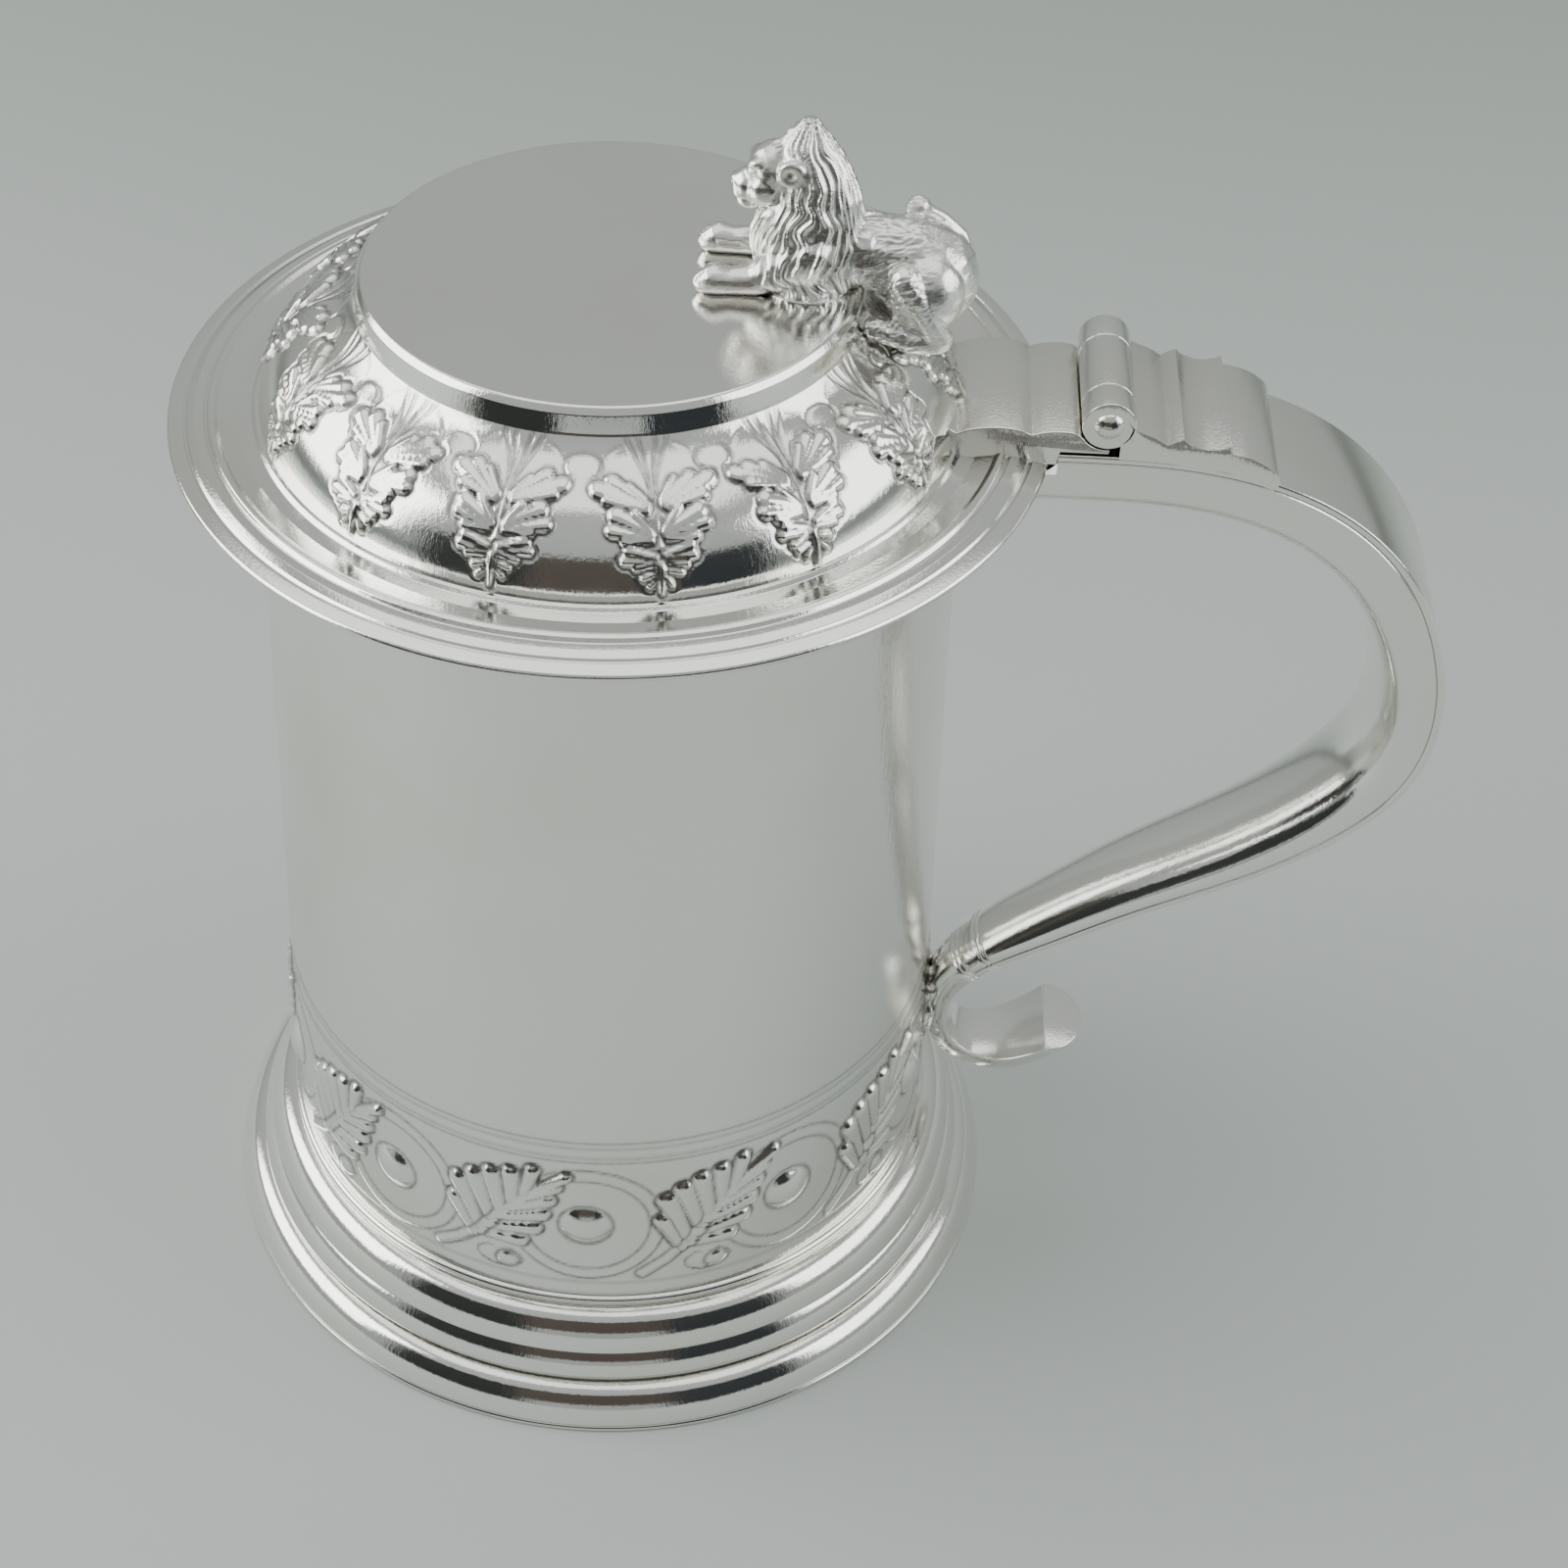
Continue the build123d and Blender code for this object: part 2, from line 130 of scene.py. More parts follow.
# Hinge
AXIS_X = 70.7
AXIS_Z = 165.9
KNUCKLE_R = 3.75
HINGE_HALF = 11.5
CENTRE_HALF = 6.4
KNUCKLE_BORE_R = 1.56
SHAFT_R = 1.45

# Leaves on the dome
LEAVES = 14
LEAF_COLUMNS = 88
DOME_ROWS = 66

# Frieze on the drum
FRIEZE_LOW = 22.0
FRIEZE_HIGH = 58.5
FRIEZE_COLUMNS = 1080
FRIEZE_ROWS = 84
ROUNDELS = 10
ROUNDEL_TURN = 1.1
ROUNDEL_Z = 37.8

# Handle: back face x and z, half width, depth of the section, depth of its straight side
HANDLE = [
    (44.0, 160.6, 11.5, 11.0, 6.3),
    (64.8, 160.7, 11.5, 11.0, 6.3),
    (80.0, 160.5, 11.5, 11.0, 6.3),
    (95.3, 157.6, 11.5, 11.0, 6.5),
    (106.8, 152.0, 11.5, 10.8, 6.8),
    (116.4, 142.7, 11.4, 10.5, 6.8),
    (123.0, 129.6, 11.3, 10.2, 6.2),
    (125.6, 115.0, 11.0, 9.8, 5.2),
    (123.2, 101.8, 10.6, 9.4, 4.2),
    (115.0, 90.0, 10.0, 8.8, 3.3),
    (101.4, 78.9, 9.2, 7.8, 2.6),
    (85.1, 68.5, 8.2, 6.9, 2.1),
    (71.7, 58.7, 7.1, 6.0, 1.9),
    (62.6, 51.2, 6.2, 5.0, 1.8),
    (58.6, 45.1, 5.4, 4.4, 0.8),
    (57.8, 38.6, 4.9, 3.8, 0.7),
    (60.4, 33.0, 4.8, 5.0, 0.7),
    (66.0, 31.6, 6.2, 5.6, 0.7),
    (71.5, 34.0, 7.3, 5.2, 0.7),
    (74.9, 36.6, 7.9, 4.6, 0.7),
]
SCROLL_FROM = 13
STRAP = 1.2
SHELL = 1.1
SWEEP_STEP = 0.9
TRIM_X = 64.2
RING_DEPTH = 0.16
PLATE_LENGTH = 6.2
PLATE_THICK = 2.8


# -------------------- camera, floor and light

def look(obj, target):
    """Turn a camera or light so that it faces a point."""
    obj.rotation_euler = (Vector(target) - obj.location).to_track_quat("-Z", "Y").to_euler()


def placed(name, data):
    """New object in the scene."""
    obj = bpy.data.objects.new(name, data)
    bpy.context.scene.collection.objects.link(obj)
    return obj


def mesh_from(bm, name):
    mesh = bpy.data.meshes.new(name)
    bm.to_mesh(mesh)
    bm.free()
    return mesh


def make_camera():
    data = bpy.data.cameras.new("camera")
    data.sensor_width = 36.0
    data.lens = CAMERA_LENS
    data.shift_x = CAMERA_SHIFT
    data.clip_start = 0.01
    camera = placed("camera", data)
    camera.location = CAMERA_PLACE
    look(camera, CAMERA_TARGET)
    bpy.context.scene.camera = camera


def soft_light(name, place, target, size, power, colour):
    data = bpy.data.lights.new(name, "AREA")
    data.shape = "RECTANGLE"
    data.size, data.size_y = size
    data.energy = power
    data.color = colour
    light = placed(name, data)
    light.location = place
    look(light, target)


def plain_material(name, colour, roughness):
    material = bpy.data.materials.new(name)
    material.use_nodes = True
    shader = material.node_tree.nodes["Principled BSDF"]
    shader.inputs["Base Color"].default_value = (*colour, 1)
    shader.inputs["Roughness"].default_value = roughness
    return material


def flat_sheet(name, width, height, material):
    bm = bmesh.new()
    bmesh.ops.create_grid(bm, x_segments=1, y_segments=1, size=0.5)
    bmesh.ops.scale(bm, vec=(width, height, 1), verts=bm.verts)
    mesh = mesh_from(bm, name)
    mesh.materials.append(material)
    obj = placed(name, mesh)
    return obj


def card(name, place, target, width, height, colour):
    """Flat card that the metal reflects and the camera doesn't see."""
    obj = flat_sheet(name, width, height, plain_material(name, colour, 0.9))
    obj.location = place
    look(obj, target)
    obj.visible_camera = False
    obj.visible_shadow = False
    obj.visible_diffuse = False


def sky_material(world):
    """Tent that is brightest high up at the sides and duller near the floor."""
    tree = world.node_tree
    back = tree.nodes["Background"]
    height = ramp(tree, part_of(tree, "Generated", "Z"), 0.0, 1.0, 0.0, 0.9)
    colour = mixed(tree, height, TENT_LOW, TENT_HIGH)
    tree.links.new(colour, back.inputs["Color"])
    back.inputs["Strength"].default_value = TENT_STRENGTH


def make_studio():
    paper = plain_material("floor_paper", FLOOR_COLOUR, 0.75)
    tree = paper.node_tree
    # Painted shade: the floor gets darker from front to back
    distance = ramp(tree, part_of(tree, "Object", "Y"), 0.0, 1.0, 0.08, 0.5)
    shade = mixed(tree, distance, FLOOR_COLOUR, FLOOR_FAR_SHADE)
    tree.links.new(shade, tree.nodes["Principled BSDF"].inputs["Base Color"])
    flat_sheet("floor", FLOOR_WIDTH, FLOOR_WIDTH, paper)

    world = bpy.data.worlds.new("tent")
    world.use_nodes = True
    bpy.context.scene.world = world
    sky_material(world)

    for name, place, size, power, colour in LIGHTS:
        soft_light(name, place, LIT_SPOT, size, power, colour)
    for name, place, width, height, colour in CARDS:
        card(name, place, (place[0] * 0.3, 0, place[2]), width, height, colour)
    # Painted shadow: a dark sheet lying on the floor in front, which only the metal reflects
    place, width, depth, colour = FLOOR_SHADOW_CARD
    card("floor_shadow_card", place, (place[0], place[1], 1.0), width, depth, colour)


# -------------------- materials

def node(tree, kind, **values):
    made = tree.nodes.new(kind)
    for key, value in values.items():
        if hasattr(made, key):
            setattr(made, key, value)
        else:
            made.inputs[key.replace("_", " ")].default_value = value
    return made


def part_of(tree, space, axis):
    """One axis of a texture space."""
    place = node(tree, "ShaderNodeTexCoord")
    split = node(tree, "ShaderNodeSeparateXYZ")
    tree.links.new(place.outputs[space], split.inputs["Vector"])
    return split.outputs[axis]


def noise(tree, scale, stretch=(1, 1, 1), detail=3.0, rough=0.55):
    """Noise on Object coordinates, with its scale given per metre."""
    place = node(tree, "ShaderNodeTexCoord")
    mapping = node(tree, "ShaderNodeMapping", Scale=stretch)
    made = node(tree, "ShaderNodeTexNoise", Scale=scale, Detail=detail, Roughness=rough)
    tree.links.new(place.outputs["Object"], mapping.inputs["Vector"])
    tree.links.new(mapping.outputs["Vector"], made.inputs["Vector"])
    return made.outputs["Fac"]


def ramp(tree, source, low, high, from_low=0.35, from_high=0.65):
    made = node(tree, "ShaderNodeMapRange")
    made.inputs["From Min"].default_value = from_low
    made.inputs["From Max"].default_value = from_high
    made.inputs["To Min"].default_value = low
    made.inputs["To Max"].default_value = high
    tree.links.new(source, made.inputs["Value"])
    return made.outputs["Result"]


def mixed(tree, amount, first, second):
    made = node(tree, "ShaderNodeMix", data_type="RGBA")
    for key, colour in (("A", first), ("B", second)):
        socket = [s for s in made.inputs if s.name == key and s.type == "RGBA"][0]
        if isinstance(colour, tuple):
            socket.default_value = (*colour, 1)
        else:
            tree.links.new(colour, socket)
    tree.links.new(amount, made.inputs["Factor"])
    return [s for s in made.outputs if s.type == "RGBA"][0]


def summed(tree, first, second, operation="ADD"):
    made = node(tree, "ShaderNodeMath", operation=operation)
    tree.links.new(first, made.inputs[0])
    if isinstance(second, (int, float)):
        made.inputs[1].default_value = second
    else:
        tree.links.new(second, made.inputs[1])
    return made.outputs["Value"]


def silver(name, gloss, wear, stain=0.5, recess=False):
    """Silver with polishing hairlines, soft stains, and painted shade in its recesses where the
    piece carries them.

    gloss is the roughness of clean metal, wear the strength of its fine scratches.
    """
    material = bpy.data.materials.new(name)
    material.use_nodes = True
    tree = material.node_tree
    shader = tree.nodes["Principled BSDF"]
    shader.inputs["Metallic"].default_value = 1.0
    blotch = noise(tree, 17.0, detail=4.0)
    tarnish = ramp(tree, blotch, 0.0, stain, 0.46, 0.70)
    colour = mixed(tree, tarnish, SILVER_COLOUR, STAIN_COLOUR)
    hairline = noise(tree, 420.0, stretch=(1.0, 1.0, 9.0), detail=5.0, rough=0.7)
    cloud = noise(tree, 90.0, detail=5.0)
    rough = summed(tree, ramp(tree, hairline, gloss * 0.7, gloss * 1.3),
                   ramp(tree, cloud, 0.0, gloss * 0.8, 0.45, 0.75))
    if recess:
        # Painted shade: the recess attribute darkens the colour in hollows and grooves, standing in
        # for the shade there; it also roughens them
        depth = node(tree, "ShaderNodeAttribute", attribute_name="recess").outputs["Fac"]
        grain = ramp(tree, noise(tree, 900.0, detail=3.0), 0.75, 1.15)
        painted_recess_shade = summed(tree, depth, grain, "MULTIPLY")
        colour = mixed(tree, ramp(tree, painted_recess_shade, 0.0, 0.9, 0.0, 1.0), colour, RECESS_SHADE_COLOUR)
        rough = summed(tree, rough, ramp(tree, painted_recess_shade, 0.0, 0.28, 0.0, 1.0))
        inside = node(tree, "ShaderNodeAttribute", attribute_name="inside").outputs["Fac"]
        rough = summed(tree, rough, summed(tree, inside, INSIDE_DULLNESS, "MULTIPLY"))
    tree.links.new(colour, shader.inputs["Base Color"])
    tree.links.new(rough, shader.inputs["Roughness"])
    scratch = noise(tree, 1500.0, stretch=(1.0, 1.0, 0.15), detail=3.0, rough=0.8)
    wave = noise(tree, 34.0, detail=1.0)
    relief = summed(tree, ramp(tree, scratch, 0.0, wear * 0.00004),
                    ramp(tree, wave, 0.0, 0.00012, 0.2, 0.8))
    bump = node(tree, "ShaderNodeBump", Strength=0.35, Distance=1.0)
    tree.links.new(relief, bump.inputs["Height"])
    tree.links.new(bump.outputs["Normal"], shader.inputs["Normal"])
    return material


# -------------------- mesh helpers

def arc(centre, radius, start, end, steps):
    """Points on an arc of an (r, z) outline."""
    points = []
    for i in range(steps + 1):
        angle = math.radians(start + (end - start) * i / steps)
        points.append((centre[0] + radius * math.cos(angle), centre[1] + radius * math.sin(angle)))
    return points


def softened(points, radius, steps=4, closed=True):
    """Outline with each corner rounded to about a radius."""
    made = []
    count = len(points)
    for i, here in enumerate(points):
        if not closed and i in (0, count - 1):
            made.append(here)
            continue
        here = Vector(here)
        before = Vector(points[i - 1]) - here
        after = Vector(points[(i + 1) % count]) - here
        half_turn = (math.pi - before.angle(after, math.pi)) / 2
        if half_turn < 0.02:
            made.append(tuple(here))
            continue
        reach = min(radius * math.tan(half_turn), 0.45 * before.length, 0.45 * after.length)
        start = here + before.normalized() * reach
        end = here + after.normalized() * reach
        for k in range(steps + 1):
            t = k / steps
            made.append(tuple(start * (1 - t) ** 2 + here * 2 * t * (1 - t) + end * t * t))
    return made


def piece(bm, name, material, nodes, body="vessel", crisp=32.0):
    """Scale a mesh to metres, shade it, and put it in the model on its body."""
    bmesh.ops.scale(bm, vec=(MM, MM, MM), verts=bm.verts)
    mesh = mesh_from(bm, name)
    mesh.polygons.foreach_set("use_smooth", [True] * len(mesh.polygons))
    if crisp:
        mesh.set_sharp_from_angle(angle=math.radians(crisp))
    mesh.materials.append(material)
    obj = placed(name, mesh)
    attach(obj, body)
    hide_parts(*nodes)
    return obj


def turned(outline, steps=TURN_STEPS, closed=True):
    """Solid of revolution from an (r, z) outline, rolled up from a flat grid."""
    rows = [*outline, outline[0]] if closed else outline
    last = len(rows) - 1
    bm = bmesh.new()
    bmesh.ops.create_grid(bm, x_segments=steps, y_segments=last, size=0.5)
    angles = [FULL_TURN * i / steps for i in range(steps + 1)]
    for v in bm.verts:
        r, z = rows[round((v.co.y + 0.5) * last)]
        angle = angles[round((v.co.x + 0.5) * steps) % steps]
        v.co = (r * math.cos(angle), r * math.sin(angle), z)
    bmesh.ops.remove_doubles(bm, verts=bm.verts, dist=0.0005)
    bmesh.ops.recalc_face_normals(bm, faces=bm.faces)
    return bm


def extruded(bm, face, way):
    """Give a face depth, and return the points that moved."""
    made = bmesh.ops.extrude_face_region(bm, geom=[face])
    moved = [v for v in made["geom"] if isinstance(v, bmesh.types.BMVert)]
    bmesh.ops.translate(bm, vec=way, verts=moved)
    return moved


def prism(outline, half_width, edge):
    """Side outline in (x, z) given a width centred on y = 0, with eased edges."""
    bm = bmesh.new()
    face = bm.faces.new([bm.verts.new((x, -half_width, z)) for x, z in outline])
    extruded(bm, face, (0, 2 * half_width, 0))
    bmesh.ops.recalc_face_normals(bm, faces=bm.faces)
    rims = [e for e in bm.edges
            if abs(e.verts[0].co.y - e.verts[1].co.y) < 1e-6 and len(e.link_faces) == 2]
    bmesh.ops.bevel(bm, geom=rims, offset=edge, segments=3, profile=0.5, affect="EDGES",
                    material=-1, clamp_overlap=True)
    return bm


def loops_bridged(rings):
    """Closed skin over a run of rings, each a list of points, in order."""
    bm = bmesh.new()
    before = None
    for ring in rings:
        verts = [bm.verts.new(p) for p in ring]
        edges = [bm.edges.new(pair) for pair in zip(verts, verts[1:] + verts[:1])]
        if before:
            bmesh.ops.bridge_loops(bm, edges=before + edges)
        else:
            bm.faces.new(verts)
        before = edges
    bm.faces.new(verts)
    bmesh.ops.recalc_face_normals(bm, faces=bm.faces)
    return bm


def drum_r(z):
    """Radius of the drum's outer face at a height."""
    return MOUTH_R + TAPER * (MOUTH_Z - z)


# -------------------- chased relief

def smooth_step(low, high, value):
    t = np.clip((value - low) / (high - low), 0, 1)
    return t * t * (3 - 2 * t)


def lobe(u, v, start, end, start_r, end_r):
    """Distance outside a tapered lobe, and its fullness from 0 at its edge to 1 on its spine."""
    du, dv = end[0] - start[0], end[1] - start[1]
    along = np.clip(((u - start[0]) * du + (v - start[1]) * dv) / (du * du + dv * dv), 0, 1)
    away = np.hypot(u - start[0] - along * du, v - start[1] - along * dv)
    radius = start_r + (end_r - start_r) * along
    return away - radius, np.clip(1 - (away / radius) ** 2, 0, 1) * (0.45 + 0.55 * along)


def foliage(u, v, lobes, height, groove=0.17, width=0.30, veins=1.0):
    """Relief and recess of a leaf made of lobes, each (start, end, start radius, end radius)."""
    outside = np.full_like(u, 99.0)
    swell = np.zeros_like(u)
    second = np.zeros_like(u)
    for start, end, start_r, end_r in lobes:
        gap, full = lobe(u, v, start, end, start_r, end_r)
        outside = np.minimum(outside, gap)
        rise = full ** 0.7
        second = np.maximum(second, np.minimum(swell, rise))
        swell = np.maximum(swell, rise)
    cut = np.exp(-((outside - 0.08) / width) ** 2)
    vein = np.exp(-((swell - second) / 0.14) ** 2) * smooth_step(0.10, 0.30, second)
    recess = np.maximum(cut, 0.8 * veins * vein)
    return height * swell - groove * cut - 0.22 * veins * height * vein, np.clip(recess, 0, 1)


def line_cut(distance, width=0.2):
    return np.exp(-(distance / width) ** 2)


# One side of a dome leaf: lobes from the midrib out to the edge, (across, down) in millimetres
LEAF_HALF = [
    ((0.9, 9.4), (3.0, 6.7), 0.6, 0.95),
    ((1.0, 9.8), (4.9, 6.2), 0.7, 1.45),
    ((1.2, 10.2), (7.0, 7.2), 0.7, 1.75),
    ((1.3, 10.5), (6.2, 9.0), 0.6, 1.2),
    ((0.9, 13.2), (2.9, 10.8), 0.5, 0.8),
    ((0.9, 13.6), (5.3, 11.4), 0.7, 1.55),
    ((1.0, 14.1), (6.2, 13.0), 0.6, 1.25),
    ((1.0, 14.6), (4.6, 14.4), 0.5, 0.95),
    ((0.7, 16.6), (3.9, 15.6), 0.6, 1.2),
    ((0.7, 17.1), (4.7, 16.9), 0.5, 0.95),
    ((0.6, 17.6), (3.4, 18.0), 0.5, 0.75),
    ((0.4, 18.6), (2.5, 19.1), 0.5, 0.75),
    ((0.3, 19.2), (1.6, 20.6), 0.5, 0.6),
    ((0.0, 17.8), (0.0, 21.9), 1.0, 0.4),
]


# Engraved lines of a leaf's stem: half width at its start and its end, and depth
STEM_LINES = [
    (3.2, 0.62, 0.13),
    (2.6, 0.36, 0.10),
    (1.5, 0.30, 0.12),
    (1.0, 0.10, 0.08),
]


def dome_outer():
    """Outline of the dome's outer face from the seam down.

    Each point is its r and z, the r and z of its way out, and its run from the seam.
    """
    neck = arc(BULGE_CENTRE, BULGE_R + NECK_R, BULGE_TO, BULGE_TO, 1)[0]
    neck_run = NECK_R * math.radians(BULGE_TO - SEAM_ANGLE)
    bulge_run = BULGE_R * math.radians(BULGE_TO - BULGE_FROM)
    points = []
    for run in np.linspace(0, neck_run + bulge_run, DOME_ROWS):
        if run < neck_run:
            angle = math.radians(180 + SEAM_ANGLE) + run / NECK_R
            out = (-math.cos(angle), -math.sin(angle))
            spot = (neck[0] - NECK_R * out[0], neck[1] - NECK_R * out[1])
        else:
            angle = math.radians(BULGE_TO) - (run - neck_run) / BULGE_R
            out = (math.cos(angle), math.sin(angle))
            spot = (BULGE_CENTRE[0] + BULGE_R * out[0], BULGE_CENTRE[1] + BULGE_R * out[1])
        points.append((*spot, *out, run))
    return points


def dome_relief(angle, radius, run):
    """Height and recess of the chasing at each point of the dome, in millimetres."""
    pitch = FULL_TURN / LEAVES
    which = np.round(angle / pitch)
    across = (angle - which * pitch) * radius
    height = np.zeros_like(angle)
    recess = np.zeros_like(angle)
    chance = np.random.default_rng(7)
    for leaf in np.unique(which % LEAVES):
        lean, grow = chance.normal(0, 0.16), chance.normal(1, 0.02)
        for side in (-1, 1):
            mask = (which % LEAVES == leaf) & (across * side >= -1.2)
            u = (across[mask] * side - lean * side) * grow
            v = run[mask] + chance.normal(0, 0.2)
            lobes = []
            for start, end, start_r, end_r in LEAF_HALF:
                shift = chance.normal(0, 0.16, 2)
                tip = (end[0] + shift[0], end[1] + shift[1])
                lobes.append((start, tip, start_r * 0.9, end_r * 0.88))
            up, low = foliage(u, v, lobes, 0.62, veins=0.35)
            height[mask] = np.where(np.abs(up) > np.abs(height[mask]), up, height[mask])
            recess[mask] = np.maximum(recess[mask], low)
    u = np.abs(across)
    taper = 1 - smooth_step(11.0, 16.5, run)
    for begin, finish, strength in STEM_LINES:
        stem = finish + (begin - finish) * (1 - smooth_step(-2.5, 7.6, run)) * 1.12
        cut = line_cut((u - stem) / 1.05) * taper
        height -= strength * cut
        recess = np.maximum(recess, 0.7 * cut)
    rib = line_cut(u, 0.8) * smooth_step(6.0, 9.0, run) * (1 - smooth_step(18.0, 21.0, run))
    height += 0.22 * rib
    half_pitch = pitch / 2 * radius
    boss = np.hypot((half_pitch - u) / 2.4, (run - 4.3) / 1.75)
    height += 0.20 * np.clip(1 - boss ** 2, 0, 1) ** 0.6
    rim = line_cut((boss - 1.08) * 2.0, 0.26) * (run < 6.0)
    height -= 0.15 * rim
    recess = np.maximum(recess, 0.8 * rim)
    for k in range(9):
        dot = np.hypot(u - 3.5 - 0.42 * k, run - 1.1 - 0.12 * k - 0.045 * k * k)
        pit = line_cut(dot, 0.22)
        height -= 0.10 * pit
        recess = np.maximum(recess, 0.5 * pit)
    edge = smooth_step(0.0, 0.7, run) * (1 - smooth_step(22.6, 23.2, run))
    return height * edge, recess * edge


# Frieze leaf: lobes from its midrib, (across, up from the drum's foot) in millimetres
SPRAY = [
    ((-2.2, 31.6), (-5.2, 38.6), 1.1, 1.85),
    ((-1.2, 33.4), (-4.6, 43.2), 1.2, 1.95),
    ((0.6, 36.4), (-1.9, 45.4), 1.2, 1.85),
    ((2.4, 38.8), (1.0, 46.9), 1.2, 1.80),
    ((4.4, 41.2), (4.3, 48.0), 1.1, 1.70),
    ((6.4, 43.4), (7.9, 49.4), 1.0, 1.50),
    ((-0.6, 32.4), (5.6, 32.9), 1.1, 1.80),
    ((0.6, 34.4), (7.8, 36.2), 1.2, 1.85),
    ((2.2, 37.2), (9.1, 39.8), 1.2, 1.85),
    ((4.2, 39.8), (10.2, 43.2), 1.1, 1.75),
    ((6.4, 42.6), (11.4, 46.4), 1.0, 1.50),
    ((8.0, 44.6), (13.3, 49.0), 1.0, 1.15),
]
MIDRIB = [(-8.6, 26.2), (-4.6, 29.2), (-1.2, 32.8), (2.3, 37.8), (5.9, 42.4), (9.2, 45.8),
          (12.6, 48.6)]
# Engraved rings round the drum: height and depth
FRIEZE_RINGS = [(56.8, 0.12), (55.6, 0.09), (53.4, 0.12), (52.4, 0.08), (24.0, 0.12)]


def near_path(u, v, points):
    """Distance to a run of straight lines, and how far along it the nearest place is."""
    away = np.full_like(u, 99.0)
    place = np.zeros_like(u)
    for i, (a, b) in enumerate(zip(points, points[1:])):
        du, dv = b[0] - a[0], b[1] - a[1]
        t = np.clip(((u - a[0]) * du + (v - a[1]) * dv) / (du * du + dv * dv), 0, 1)
        d = np.hypot(u - a[0] - t * du, v - a[1] - t * dv)
        place = np.where(d < away, (i + t) / (len(points) - 1), place)
        away = np.minimum(away, d)
    return away, place


def frieze_relief(angle, z):
    """Height and recess of the frieze at each point of the drum, in millimetres."""
    radius = drum_r(z)
    pitch = FULL_TURN / ROUNDELS
    turn = angle - math.radians(ROUNDEL_TURN) + math.pi / 2
    across = (turn - np.round(turn / pitch) * pitch) * radius
    from_centre = np.hypot(across, z - ROUNDEL_Z)
    band = smooth_step(10.2, 10.8, from_centre) * (1 - smooth_step(12.2, 12.8, from_centre))
    height = 0.16 * band
    cut = np.maximum(line_cut(from_centre - 10.3, 0.27), line_cut(from_centre - 12.75, 0.27))
    cap = np.sqrt(np.clip(43.6 - from_centre ** 2, 0, None)) - 5.09
    height += np.where(from_centre < 4.2, cap, 0)
    boss_rim = line_cut(from_centre - 4.45, 0.32)
    height -= 0.12 * cut + 0.16 * boss_rim
    recess = np.maximum(0.75 * cut, 0.8 * boss_rim)

    half = turn + pitch / 2
    u = (half - np.round(half / pitch) * pitch) * radius - 0.6
    up, low = foliage(u, z, SPRAY, 1.15, groove=0.12, width=0.32)
    away, place = near_path(u, z, MIDRIB)
    stem = np.clip(1 - (away / 0.95) ** 2, 0, 1) * (1 - 0.6 * place)
    stem_edge = line_cut(away - 1.15, 0.3) * (place < 0.5) * 0.8
    leaf = np.clip(smooth_step(0.0, 0.25, np.abs(up)) + (away < 1.4), 0, 1)
    height = height * (1 - leaf) + np.maximum(up, 0.42 * stem) - 0.12 * stem_edge * (up < 0.1)
    height = np.where((up < -0.02) & (stem < 0.05), np.minimum(height, up), height)
    recess = np.maximum(recess * (1 - leaf), np.maximum(low * (stem < 0.3), stem_edge))

    ball_u, ball_z = u - 3.6, z - 27.2
    ball = np.clip(1 - np.hypot(ball_u, ball_z) ** 2 / 1.7 ** 2, 0, 1)
    husk = np.clip(1 - np.hypot((u - 2.2) / 4.1, (z - 27.4) / 2.5) ** 2, 0, 1)
    husk_edge = line_cut(np.sqrt(1 - husk) * (husk < 1) - 0.96, 0.09) * (husk > 0)
    ball_edge = line_cut(np.hypot(ball_u, ball_z) - 2.0, 0.3)
    height = np.maximum(height, 0.3 * husk ** 0.6) + 0.4 * ball ** 0.8
    height = height - 0.14 * ball_edge - 0.12 * husk_edge
    recess = np.maximum(recess, np.maximum(0.8 * ball_edge, 0.7 * husk_edge))

    for level, depth in FRIEZE_RINGS:
        ring_cut = line_cut(z - level, 0.24)
        height -= depth * ring_cut
        recess = np.maximum(recess, 0.55 * ring_cut)
    fade_in = smooth_step(FRIEZE_LOW, FRIEZE_LOW + 0.8, z)
    fade_out = 1 - smooth_step(FRIEZE_HIGH - 0.8, FRIEZE_HIGH, z)
    inside = fade_in * fade_out
    return height * inside, recess * inside


def raise_relief(obj, points, relief, recess, out):
    """Move a finished mesh's points out by their relief, and store how deep each lies, for the
    material's painted shade in the recesses.
    """
    moved = points + out * relief[:, None]
    obj.data.vertices.foreach_set("co", (moved * MM).astype(np.float32).ravel())
    store(obj, "recess", recess)
    obj.data.update()


def store(obj, name, values):
    """Keep a number for each point, for the material to read."""
    made = obj.data.attributes.new(name, "FLOAT", "POINT")
    made.data.foreach_set("value", values.astype(np.float32))


def read_points(obj, key):
    """A vector of each point, its place "co" in metres or its "normal"."""
    values = np.zeros(len(obj.data.vertices) * 3, np.float32)
    obj.data.vertices.foreach_get(key, values)
    return values.reshape(-1, 3).astype(float)


def around_axis(points):
    """Radius and angle of each point about the tankard's axis."""
    return np.hypot(points[:, 0], points[:, 1]), np.arctan2(points[:, 1], points[:, 0])


# -------------------- drum and foot

